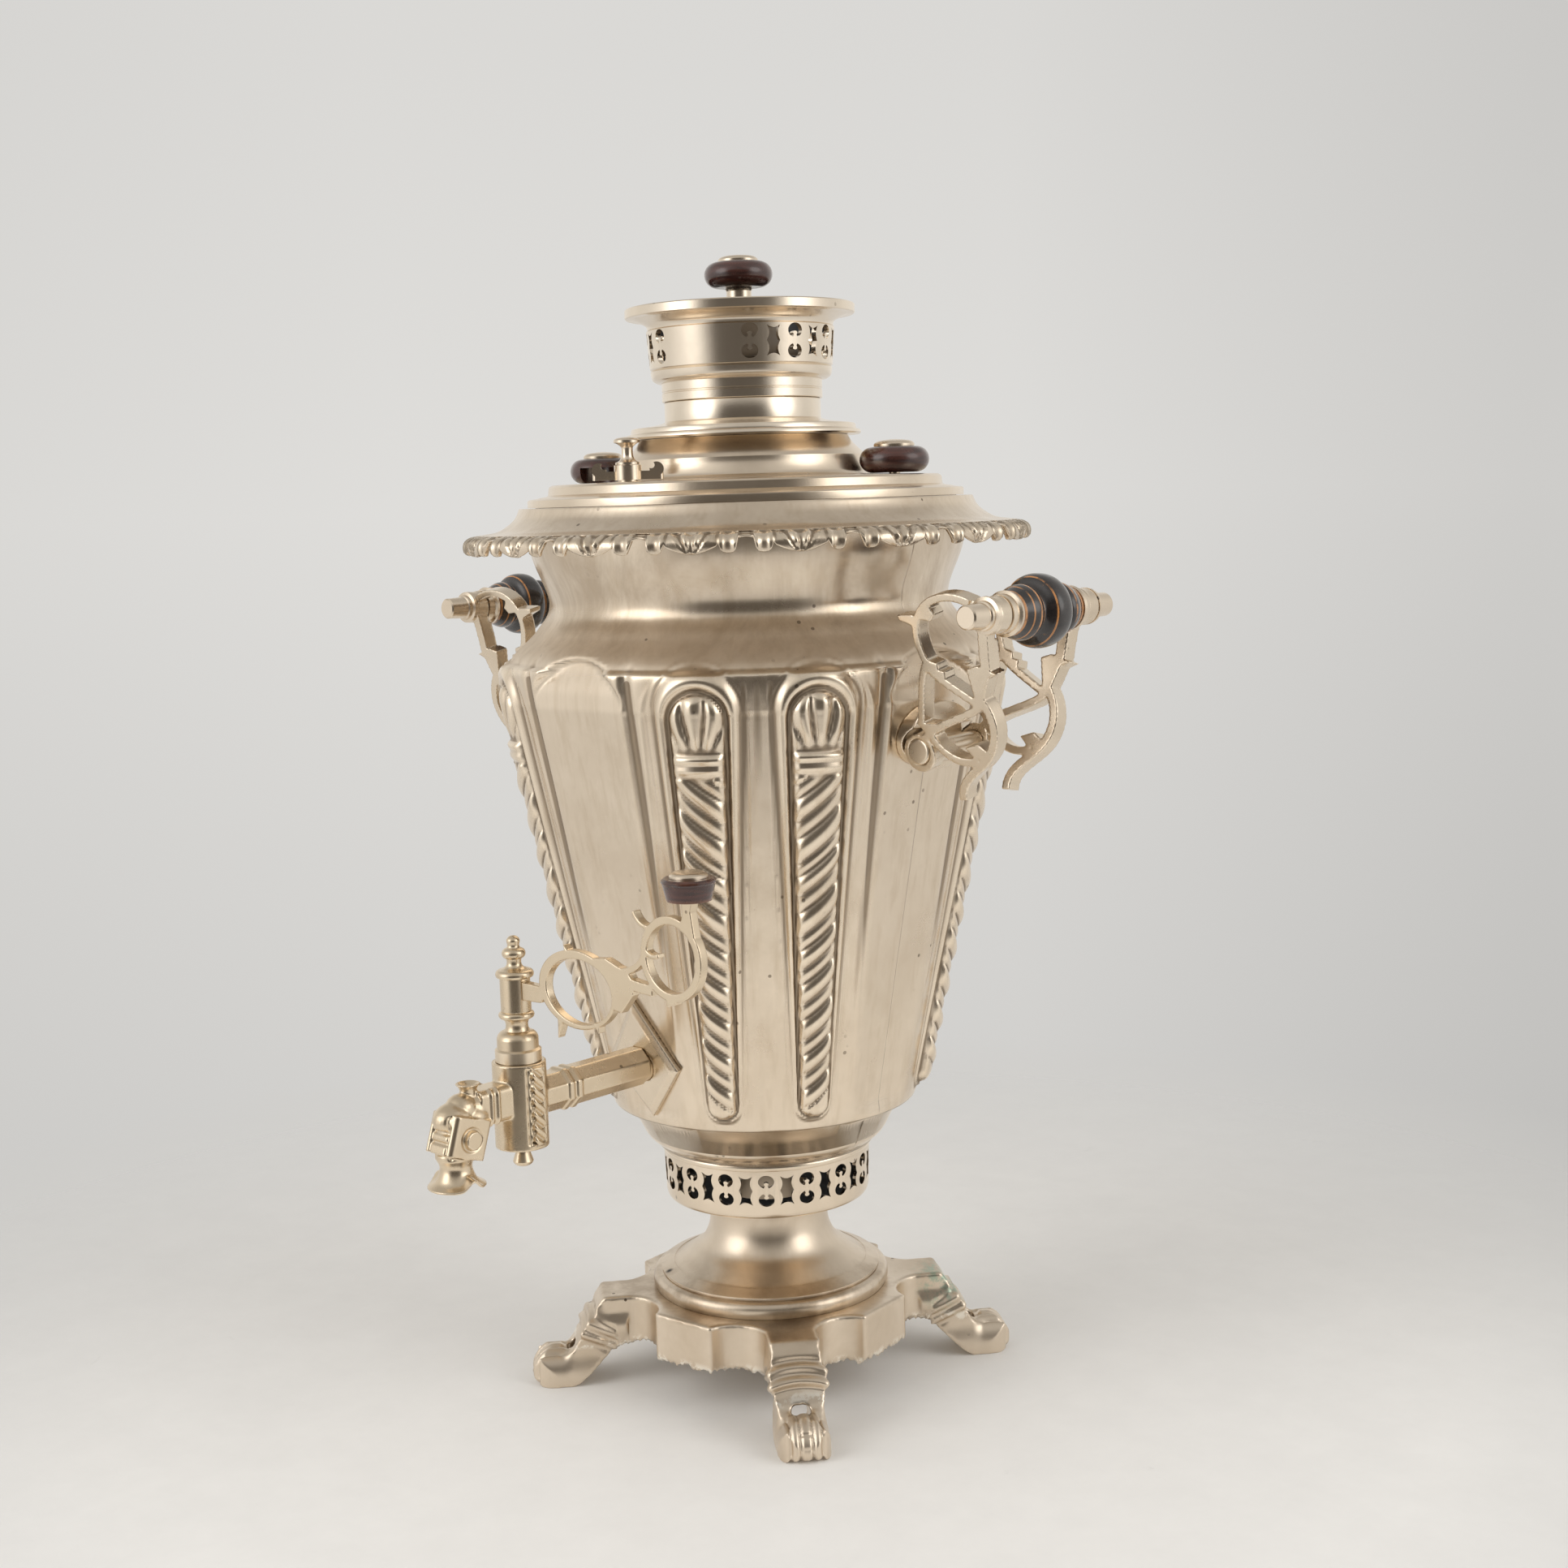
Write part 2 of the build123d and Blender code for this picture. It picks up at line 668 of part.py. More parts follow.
with BuildPart() as lid:
    hole = lift_radius + 0.3
    lip = mouth_radius - LIFT_CLEARANCE
    wall = lid_wall
    with BuildSketch(Plane.XZ):
        with BuildLine():
            Polyline(
                (hole, dome_top_z),
                (lid_dome_top_radius, dome_top_z),
            )
            Spline(
                (lid_dome_top_radius, dome_top_z),
                (lid_dome_top_radius + 2, dome_top_z - 3.4),
                (lid_dome_foot_radius - 4, dome_top_z - 7.4),
                (lid_dome_foot_radius - 2.5, dome_top_z - 9),
                tangents=((0.3, -1), (1, -1)),
            )
            Spline(
                (lid_dome_foot_radius - 2.5, dome_top_z - 9),
                (lid_dome_foot_radius - 1.2, lid_plate_z + 3.5),
                (lid_dome_foot_radius + 2.5, lid_plate_z),
                tangents=((0.1, -1), (1, -0.1)),
            )
            Polyline(
                (lid_dome_foot_radius + 2.5, lid_plate_z),
                (lid_step_radius - 1.2, lid_plate_z - 0.9),
                (lid_step_radius, lid_plate_z - 2),
                (lid_step_radius + 0.4, lid_z + 4.8),
                (lid_radius - 4, lid_z + 4.0),
                (lid_radius, lid_z + 3.2),
                (lid_radius, lid_z),
                (lip, lid_z),
                (lip, lid_z - lid_lip_depth),
                (lip - wall, lid_z - lid_lip_depth),
                (lip - wall, lid_z + 4.0 - wall),
                (lid_step_radius - wall, lid_z + 4.8 - wall),
                (lid_step_radius - wall - 1, lid_plate_z - 0.9 - wall),
                (lid_dome_foot_radius + 2.5 - wall / 2, lid_plate_z - wall),
            )
            Spline(
                (lid_dome_foot_radius + 2.5 - wall / 2, lid_plate_z - wall),
                (lid_dome_foot_radius - 1.2 - wall, lid_plate_z + 2.6),
                (lid_dome_foot_radius - 2.5 - wall, dome_top_z - 9 - wall / 2),
            )
            Spline(
                (lid_dome_foot_radius - 2.5 - wall, dome_top_z - 9 - wall / 2),
                (lid_dome_top_radius + 2 - wall, dome_top_z - 3.9 - wall / 2),
                (lid_dome_top_radius - wall, dome_top_z - wall),
            )
            Polyline(
                (lid_dome_top_radius - wall, dome_top_z - wall),
                (hole, dome_top_z - wall),
                (hole, dome_top_z),
            )
        make_face()
    revolve(axis=Axis.Z)
    # Holes for the knob screws and the steam vent.
    with BuildSketch(Plane.XY.offset(lid_z)):
        with Locations(*[(spot.X, spot.Y) for spot in knob_spots]):
            Circle(knob_screw_radius + FIXED_CLEARANCE)
        with Locations((0, -vent_reach)):
            Circle(vent_tube_radius + FIXED_CLEARANCE)
    extrude(amount=lid_dome_height, mode=Mode.SUBTRACT)
lid.part.label = "lid"


def wooden_knob(foot_z):
    """A flattened wooden ring of a knob round its screw."""
    with BuildPart() as knob:
        with BuildSketch(Plane.XZ):
            with BuildLine():
                half = knob_height / 2
                flat = knob_radius - 6.2
                Line((knob_screw_radius + FIXED_CLEARANCE, foot_z), (flat, foot_z))
                ThreePointArc((flat, foot_z), (knob_radius, foot_z + half), (flat, foot_z + knob_height))
                Polyline(
                    (flat, foot_z + knob_height),
                    (knob_screw_radius + FIXED_CLEARANCE, foot_z + knob_height),
                    (knob_screw_radius + FIXED_CLEARANCE, foot_z),
                )
            make_face()
        revolve(axis=Axis.Z)
    return knob.part


def capped_screw(foot_z, head_z):
    """A screw whose domed head is the metal button on top of a wooden knob."""
    with BuildPart() as screw:
        with BuildSketch(Plane.XZ):
            with BuildLine():
                Polyline(
                    (0, foot_z),
                    (knob_screw_radius, foot_z),
                    (knob_screw_radius, head_z),
                    (knob_cap_radius, head_z),
                    (knob_cap_radius, head_z + 0.9),
                )
                Spline(
                    (knob_cap_radius, head_z + 0.9),
                    (knob_cap_radius * 0.55, head_z + 2.6),
                    (0, head_z + 3.0),
                    tangents=((-0.5, 1), (-1, 0)),
                )
                Line((0, head_z + 3.0), (0, foot_z))
            make_face()
        revolve(axis=Axis.Z)
    return screw.part


with BuildPart() as lid_knob_right:
    with Locations(knob_spots[0]):
        add(wooden_knob(knob_seat_z))
lid_knob_right.part.label = "lid_knob_right"

with BuildPart() as lid_knob_left:
    with Locations(knob_spots[1]):
        add(wooden_knob(knob_seat_z))
    # A piece of its rim is broken away.
    chip = knob_spots[1] + Vector(knob_radius * 0.55, -knob_radius * 0.75, 0)
    with BuildSketch(Plane.XY.offset(knob_seat_z - 1)):
        with Locations((chip.X, chip.Y)):
            Circle(knob_radius * 0.55)
    extrude(amount=knob_height * 0.72, mode=Mode.SUBTRACT)
lid_knob_left.part.label = "lid_knob_left"

with BuildPart() as lid_knob_screws:
    with Locations(*knob_spots):
        add(capped_screw(lid_plate_z - 5, knob_seat_z + knob_height + SEAT_GAP))
    # The round nuts under the lid.
    with BuildSketch(Plane.XY.offset(lid_plate_z - 4.6)):
        with Locations(*[(spot.X, spot.Y) for spot in knob_spots]):
            Circle(5)
    extrude(amount=2.6)
lid_knob_screws.part.label = "lid_knob_screws"

vent_top_z = lid_plate_z + 6.4
vent_bore = 3.1
with BuildPart() as vent_seat:
    with BuildSketch(Plane.XY.offset(lid_plate_z - 4)):
        with Locations((0, -vent_reach)):
            Circle(vent_tube_radius)
    extrude(amount=4.5)
    with BuildSketch(Plane.XY.offset(lid_plate_z + 0.2)):
        with Locations((0, -vent_reach)):
            Circle(5.8)
    extrude(amount=6.2)
    # Two scrolled ears on a flat bar.
    with BuildSketch(Plane.XY.offset(lid_plate_z + 0.3)):
        with Locations(Location((0, -vent_reach, 0), (0, 0, vent_bar_angle))):
            RectangleRounded(30, 3.2, 1.5)
    extrude(amount=3.6)
    for side in (-1, 1):
        ear_angle = radians(vent_bar_angle)
        ear_x = side * 12.2 * cos(ear_angle)
        ear_y = side * 12.2 * sin(ear_angle) - vent_reach
        ear = Plane(
            origin=(ear_x, ear_y, lid_plate_z + 4.6),
            x_dir=(cos(ear_angle), sin(ear_angle), 0),
            z_dir=(sin(ear_angle), -cos(ear_angle), 0),
        )
        with BuildSketch(ear):
            Circle(3.0)
            with Locations((-side * 2.2, 1.6)):
                Circle(1.4, mode=Mode.SUBTRACT)
        extrude(amount=1.6, both=True)
    with BuildSketch(Plane.XY.offset(lid_plate_z - 5)):
        with Locations((0, -vent_reach)):
            Circle(vent_bore)
    extrude(amount=20, mode=Mode.SUBTRACT)
vent_seat.part.label = "vent_seat"

with BuildPart() as vent_plug:
    with BuildSketch(Plane.XZ):
        with BuildLine():
            z = vent_top_z + SEAT_GAP
            Polyline((0, z - 5), (vent_bore - 0.3, z - 5), (vent_bore - 0.3, z), (5.2, z), (5.2, z + 1))
            Spline((5.2, z + 1), (2.9, z + 2.6), (2.4, z + 6.5), tangents=((-1, 0.1), (0, 1)))
            Spline((2.4, z + 6.5), (3.4, z + 8.2), (5.6, z + 9.2), tangents=((0, 1), (1, 0.1)))
            Line((5.6, z + 9.2), (5.6, z + 10.2))
            Spline((5.6, z + 10.2), (3, z + 11.4), (0, z + 11.7), tangents=((-0.6, 1), (-1, 0)))
            Line((0, z + 11.7), (0, z - 5))
        make_face()
    revolve(axis=Axis.Z)
vent_plug_part = Location((0, -vent_reach, 0)) * vent_plug.part
vent_plug_part.label = "vent_plug"

# ---- Crown: its skirt on the lid and its pierced bowl -------------------------------------
with BuildPart() as crown_skirt:
    with BuildSketch(Plane.XZ):
        with BuildLine():
            Polyline(
                (lift_radius, skirt_z + 1.2),
                (lid_dome_top_radius - 2, skirt_z + 1.2),
                (lid_dome_top_radius - 1.5, skirt_z),
                (skirt_radius - 0.6, skirt_z),
                (skirt_radius, skirt_z + 0.7),
                (skirt_radius - 0.3, skirt_z + 2.1),
                (skirt_radius - 2.2, skirt_z + 2.5),
                (skirt_radius - 2.6, skirt_z + 4.6),
                (skirt_radius - 4.0, skirt_z + 5.0),
            )
            Spline(
                (skirt_radius - 4.0, skirt_z + 5.0),
                (crown_neck_radius + 4, skirt_z + 6.1),
                (crown_neck_radius - 0.9, skirt_z + 7.4),
            )
            Polyline(
                (crown_neck_radius - 0.9, skirt_z + 7.4),
                (crown_neck_radius - 0.9, skirt_z + skirt_height),
                (lift_radius, skirt_z + skirt_height),
                (lift_radius, skirt_z + 1.2),
            )
        make_face()
    revolve(axis=Axis.Z)
crown_skirt.part.label = "crown_skirt"

with BuildPart() as crown:
    bowl = crown_bowl_radius
    flange = crown_flange_radius
    wall = crown_wall
    flange_z = bowl_z + crown_bowl_height
    with BuildSketch(Plane.XZ):
        with BuildLine():
            Polyline(
                (tube_top_radius - tube_wall, crown_z),
                (crown_neck_radius, crown_z),
                (crown_neck_radius, bowl_z),
                (crown_neck_radius + 2, bowl_z + 0.2),
            )
            Spline(
                (crown_neck_radius + 2, bowl_z + 0.2),
                (bowl - 1.0, bowl_z + 2.2),
                (bowl - 0.5, bowl_z + 5),
                tangents=((1, 0.1), (0.05, 1)),
            )
            Polyline(
                (bowl - 0.5, bowl_z + 5),
                (bowl - 1.0, bowl_z + 5.5),
                (bowl - 0.3, bowl_z + 6.2),
                (bowl + 0.8, bowl_z + 22.5),
                (bowl + 0.2, bowl_z + 23.1),
            )
            Spline(
                (bowl + 0.2, bowl_z + 23.1),
                (bowl + 2.5, flange_z - 1.8),
                (flange - 3.5, flange_z),
                tangents=((0.2, 1), (1, 0.1)),
            )
            Polyline(
                (flange - 3.5, flange_z),
                (flange, flange_z + 0.3),
                (flange, crown_top_z - 0.3),
                (flange - 0.5, crown_top_z),
                (bowl + 0.8, crown_top_z),
                (bowl - wall + 0.6, crown_top_z - 1.5),
                (bowl - wall - 0.4, bowl_z + 22.5),
                (bowl - wall - 1.5, bowl_z + 5),
                (crown_neck_radius + 2, bowl_z + 0.2 + wall),
                (tube_top_radius, bowl_z + 0.2 + wall),
                (tube_top_radius, flue_top_z),
                (tube_top_radius - tube_wall, flue_top_z),
                (tube_top_radius - tube_wall, crown_z),
            )
        make_face()
    revolve(axis=Axis.Z)
    pierced_z = bowl_z + 15
    angles = [crown_first_angle + half + crown_pitch * k for half in (0, 180) for k in range(crown_group)]
    eights = [round_plane(a, bowl + 3, pierced_z) for n, a in enumerate(angles) if n % crown_group % 2 == 0]
    spools = [round_plane(a, bowl + 3, pierced_z) for n, a in enumerate(angles) if n % crown_group % 2 == 1]
    with BuildSketch(*eights):
        add(eight_hole(1.1))
    extrude(amount=-9, mode=Mode.SUBTRACT)
    with BuildSketch(*spools):
        add(spool_hole(1.05))
    extrude(amount=-9, mode=Mode.SUBTRACT)
crown.part.label = "crown"

# ---- Damper cap with its knob -------------------------------------------------------------
plug_radius = tube_top_radius - tube_wall - LIFT_CLEARANCE
with BuildPart() as damper:
    with BuildSketch(Plane.XZ):
        with BuildLine():
            wall = crown_wall
            Polyline(
                (plug_radius, damper_z),
                (plug_radius, damper_z - damper_plug_depth),
                (plug_radius - wall, damper_z - damper_plug_depth),
                (plug_radius - wall, damper_z + wall),
            )
            Spline(
                (plug_radius - wall, damper_z + wall),
                (plug_radius * 0.62, damper_z + damper_dome_height * 0.42),
                (knob_stem_radius + 2, stem_foot_z - wall),
                tangents=((-0.3, 1), (-1, 0.3)),
            )
            Polyline((knob_stem_radius + 2, stem_foot_z - wall), (0, stem_foot_z - wall), (0, stem_foot_z))
            Line((0, stem_foot_z), (knob_stem_radius + 2, stem_foot_z))
            Spline(
                (knob_stem_radius + 2, stem_foot_z),
                (plug_radius * 0.66, damper_z + damper_dome_height * 0.5),
                (damper_flange_radius - 3, damper_z + wall + 0.6),
                tangents=((1, -0.3), (0.6, -1)),
            )
            Polyline(
                (damper_flange_radius - 3, damper_z + wall + 0.6),
                (damper_flange_radius, damper_z + wall),
                (damper_flange_radius, damper_z),
                (plug_radius, damper_z),
            )
        make_face()
    revolve(axis=Axis.Z)
    with BuildSketch(Plane.XY.offset(damper_z)):
        Circle(knob_screw_radius + FIXED_CLEARANCE)
    extrude(amount=damper_dome_height + 5, mode=Mode.SUBTRACT)
damper.part.label = "damper"

with BuildPart() as damper_stem:
    with BuildSketch(Plane.XZ):
        bore = knob_screw_radius + FIXED_CLEARANCE
        with BuildLine():
            Polyline(
                (bore, stem_foot_z),
                (knob_stem_radius - 0.6, stem_foot_z),
                (knob_stem_radius - 0.6, stem_foot_z + 2.4),
                (knob_stem_radius, stem_foot_z + 3.2),
                (knob_stem_radius, knob_z - 1.6),
                (knob_stem_radius + 0.4, knob_z - 0.9),
                (knob_stem_radius + 0.2, knob_z - 0.05),
                (bore, knob_z - 0.05),
                close=True,
            )
        make_face()
    revolve(axis=Axis.Z)
damper_stem.part.label = "damper_stem"

with BuildPart() as damper_knob:
    add(wooden_knob(knob_z))
damper_knob.part.label = "damper_knob"

with BuildPart() as damper_screw:
    add(capped_screw(stem_foot_z - 4, knob_z + knob_height + 0.05))
    with BuildSketch(Plane.XY.offset(stem_foot_z - 3.9)):
        Circle(5.5)
    extrude(amount=2.4)
damper_screw.part.label = "damper_screw"

# ---- Tap: plate, body, washer and nut -----------------------------------------------------
front_distance = panel_distance(tap_z)
plate_front = front_distance + plate_thickness
panel_lean = atan(cone_slope * cos(radians(panel_half_angle)))
plate_plane = Plane(
    origin=(0, -front_distance, tap_z),
    x_dir=(1, 0, 0),
    z_dir=(0, -cos(panel_lean), -sin(panel_lean)),
)
with BuildPart() as tap_plate:
    with BuildSketch(plate_plane.offset(-9)):
        with BuildLine():
            Polyline((0, plate_up), (plate_half_width, 0), (0, -plate_down))
            Polyline((0, -plate_down), (-plate_half_width, 0), (0, plate_up))
        make_face()
    extrude(amount=9 + plate_thickness)
    chamfer(faces().sort_by(Axis.Y)[0].edges(), length=plate_bevel, length2=2 * plate_bevel)
    add(tank_outside, mode=Mode.SUBTRACT)
    with BuildSketch(Plane.XZ.offset(front_distance * 0.6)):
        with Locations((0, tap_z)):
            Circle(shank_radius + FIXED_CLEARANCE)
    extrude(amount=front_distance, mode=Mode.SUBTRACT)
tap_plate.part.label = "tap_plate"

barrel_top = tap_z + barrel_up
barrel_foot = tap_z - barrel_down
barrel_at = Plane(origin=(0, -tap_reach, 0), x_dir=(1, 0, 0), z_dir=(0, 0, 1))
mouth_y = -tap_reach - spout_reach
mouth_z = tap_z - mouth_drop
pipe_root_y = front_distance + plate_thickness + 1.9
nut_face_y = front_distance - tank_wall - 4.4

with BuildPart() as tap_body:
    # The octagonal pipe with its two bands and the threaded shank behind it.
    with BuildSketch(Plane.XZ.offset(pipe_root_y)):
        with Locations((0, tap_z)):
            RegularPolygon(pipe_across / 2, 8, major_radius=False, rotation=22.5)
    extrude(amount=tap_reach - pipe_root_y)
    for band_y in (22.5, 27.0):
        with BuildSketch(Plane.XZ.offset(tap_reach - band_y)):
            with Locations((0, tap_z)):
                RegularPolygon(pipe_across / 2 + 0.8, 8, major_radius=False, rotation=22.5)
        extrude(amount=2.6)
    with BuildSketch(Plane.XZ.offset(nut_face_y - 7)):
        with Locations((0, tap_z)):
            Circle(shank_radius)
    extrude(amount=pipe_root_y - nut_face_y + 7)
    # The barrel, with a corded strip down each side.
    with BuildSketch(Plane.XY.offset(barrel_foot)):
        with Locations((0, -tap_reach)):
            Circle(barrel_radius)
    extrude(amount=barrel_top - barrel_foot)
    with BuildSketch(Plane.XY.offset(barrel_foot + 2)):
        with Locations((0, -tap_reach)):
            RectangleRounded(2 * barrel_radius + 3.6, 6.4, 1.2)
    extrude(amount=barrel_top - barrel_foot - 3)
    # The arm, the elbow block with its side bosses, and the flared stub on top.
    with BuildSketch(Plane.XZ.offset(tap_reach + barrel_radius - 2)):
        with Locations((0, tap_z + 1.8)):
            RectangleRounded(13, 15, 3)
    extrude(amount=16)
    elbow = Plane(origin=(0, mouth_y + 2, tap_z - 8), x_dir=(1, 0, 0), z_dir=(0, -0.31, -0.95))
    with BuildSketch(elbow.offset(-8.5)):
        RectangleRounded(17, 19, 2.5)
    extrude(amount=16.5)
    for side in (-1, 1):
        boss = Plane(
            origin=(side * 8.3, mouth_y + 2.4, tap_z - 8.3), x_dir=(0, 1, 0), z_dir=(side, 0, 0)
        )
        with BuildSketch(boss):
            Circle(3.9)
        extrude(amount=1.7)
    with BuildSketch(Plane(origin=(0, mouth_y, 0), x_dir=(1, 0, 0), z_dir=(0, -1, 0))):
        with BuildLine():
            Polyline((0, tap_z - 14), (8.2, tap_z - 14), (8.2, tap_z - 16))
            Spline(
                (8.2, tap_z - 16),
                (6.6, tap_z - 20),
                (7.8, tap_z - 24),
                (bell_radius, mouth_z + 0.8),
                tangents=((-0.6, -1), (1, -0.5)),
            )
            Polyline((bell_radius, mouth_z + 0.8), (bell_radius - 0.8, mouth_z), (0, mouth_z))
            Line((0, mouth_z), (0, tap_z - 14))
        make_face()
    revolve(axis=Axis((0, mouth_y, 0), (0, 0, 1)))
    stub_y = mouth_y + 8
    with BuildSketch(Plane(origin=(0, stub_y, 0), x_dir=(1, 0, 0), z_dir=(0, -1, 0))):
        with BuildLine():
            Polyline((0, tap_z - 3), (8, tap_z - 3), (8, tap_z))
            Spline((8, tap_z), (3.6, tap_z + 7), (5.2, tap_z + 12.4), tangents=((-0.4, 1), (1, 0.6)))
            Line((5.2, tap_z + 12.4), (4.6, tap_z + 12.9))
            Spline((4.6, tap_z + 12.9), (2.5, tap_z + 11.4), (0, tap_z + 11), tangents=((-1, -1), (-1, 0)))
            Line((0, tap_z + 11), (0, tap_z - 3))
        make_face()
    revolve(axis=Axis((0, stub_y, 0), (0, 0, 1)))
    # The key's tapered seat and the water way: in from the tank, out and down to the mouth.
    with BuildSketch(Plane(origin=(0, -tap_reach, 0), x_dir=(1, 0, 0), z_dir=(0, -1, 0))):
        with BuildLine():
            Polyline(
                (0, barrel_foot - 1),
                (key_foot_radius + RUN_CLEARANCE, barrel_foot - 1),
                (key_foot_radius + RUN_CLEARANCE, barrel_foot),
                (key_top_radius + RUN_CLEARANCE, barrel_top),
                (key_top_radius + RUN_CLEARANCE, barrel_top + 1),
                (0, barrel_top + 1),
                close=True,
            )
        make_face()
    revolve(axis=Axis((0, -tap_reach, 0), (0, 0, 1)), mode=Mode.SUBTRACT)
    with BuildSketch(Plane.XZ.offset(front_distance - 20)):
        with Locations((0, tap_z)):
            Circle(pipe_bore_radius)
    extrude(amount=tap_reach + spout_reach - front_distance + 20, mode=Mode.SUBTRACT)
    with BuildSketch(Plane.XY.offset(tap_z)):
        with Locations((0, mouth_y)):
            Circle(pipe_bore_radius)
    extrude(amount=-mouth_drop + 6, mode=Mode.SUBTRACT)
    with BuildSketch(Plane(origin=(0, mouth_y, 0), x_dir=(1, 0, 0), z_dir=(0, -1, 0))):
        with BuildLine():
            Line((0, mouth_z + 9), (pipe_bore_radius, mouth_z + 9))
            Spline(
                (pipe_bore_radius, mouth_z + 9),
                (pipe_bore_radius + 1.2, mouth_z + 5),
                (bell_radius - 1.2, mouth_z - 0.1),
                tangents=((0, -1), (1, -0.6)),
            )
            Polyline((bell_radius - 1.2, mouth_z - 0.1), (0, mouth_z - 0.1), (0, mouth_z + 9))
        make_face()
    revolve(axis=Axis((0, mouth_y, 0), (0, 0, 1)), mode=Mode.SUBTRACT)
tap_body.part.label = "tap_body"

with BuildPart() as tap_washer:
    # A wedge, so that the nut sits square on the sloping wall.
    with BuildSketch(Plane.XZ.offset(nut_face_y)):
        with Locations((0, tap_z)):
            Circle(12)
            Circle(shank_radius + FIXED_CLEARANCE, mode=Mode.SUBTRACT)
    extrude(amount=20)
    add(water_space.part, mode=Mode.INTERSECT)
tap_washer.part.label = "tap_washer"

with BuildPart() as tap_nut:
    with BuildSketch(Plane.XZ.offset(nut_face_y - 5.5)):
        with Locations((0, tap_z)):
            RegularPolygon(11, 6, major_radius=False)
            Circle(shank_radius + FIXED_CLEARANCE, mode=Mode.SUBTRACT)
    extrude(amount=5.4)
tap_nut.part.label = "tap_nut"

# ---- Tap key and its handle ---------------------------------------------------------------
collar_foot = barrel_top + SEAT_GAP
with BuildPart() as key_blank:
    with BuildSketch(Plane.XZ):
        with BuildLine():
            z = collar_foot
            Polyline(
                (0, barrel_foot),
                (key_foot_radius, barrel_foot),
                (key_top_radius, barrel_top),
                (key_top_radius, z),
                (9.6, z),
                (9.6, z + 4.6),
                (8.6, z + 5.4),
                (8.6, z + 9.4),
            )
            Spline((8.6, z + 9.4), (7.4, z + 11.6), (5.2, z + 12.6))
            Spline((5.2, z + 12.6), (4.6, z + 15), (5.6, z + 17.6))
            ThreePointArc((5.6, z + 17.6), (7.4, z + 19), (6.2, z + 20.6))
            Polyline((6.2, z + 20.6), (key_post_radius, z + 21), (key_post_radius, z + 34.6), (7.5, z + 35))
            ThreePointArc((7.5, z + 35), (7.9, z + 36.4), (6.6, z + 38))
            Spline((6.6, z + 38), (3.2, z + 40), (3.2, z + 42.6))
            ThreePointArc((3.2, z + 42.6), (4.9, z + 44.9), (3.0, z + 47))
            Spline((3.0, z + 47), (2.5, z + 48.6), (2.8, z + 50), (1.8, z + 51.6), (0, z + 52.1))
            Line((0, z + 52.1), (0, barrel_foot))
        make_face()
    revolve(axis=Axis.Z)
    # The port through the plug, across the pipe while the tap is shut.
    with BuildSketch(Plane.YZ.offset(-20)):
        with Locations((0, tap_z)):
            Circle(key_port_radius)
    extrude(amount=40, mode=Mode.SUBTRACT)
    # The threaded hole for the screw under the plug.
    with BuildSketch(Plane.XY.offset(barrel_foot - 1)):
        Circle(2.1)
    extrude(amount=9, mode=Mode.SUBTRACT)
tap_key = Location((0, -tap_reach, 0)) * key_blank.part
tap_key.label = "tap_key"

with BuildPart() as key_screw_blank:
    with BuildSketch(Plane.XZ):
        with BuildLine():
            z = barrel_foot
            Polyline((0, z + 7), (2.05, z + 7), (2.05, z - 0.1), (3.4, z - 0.1), (3.0, z - 2))
            Spline((3.0, z - 2), (3.6, z - 4.5), (4.3, z - 6.6), tangents=((0, -1), (0.4, -1)))
            Spline((4.3, z - 6.6), (2.6, z - 8.5), (0, z - 9), tangents=((-0.2, -1), (-1, 0)))
            Line((0, z - 9), (0, z + 7))
        make_face()
    revolve(axis=Axis.Z)
key_screw = Location((0, -tap_reach, 0)) * key_screw_blank.part
key_screw.label = "key_screw"

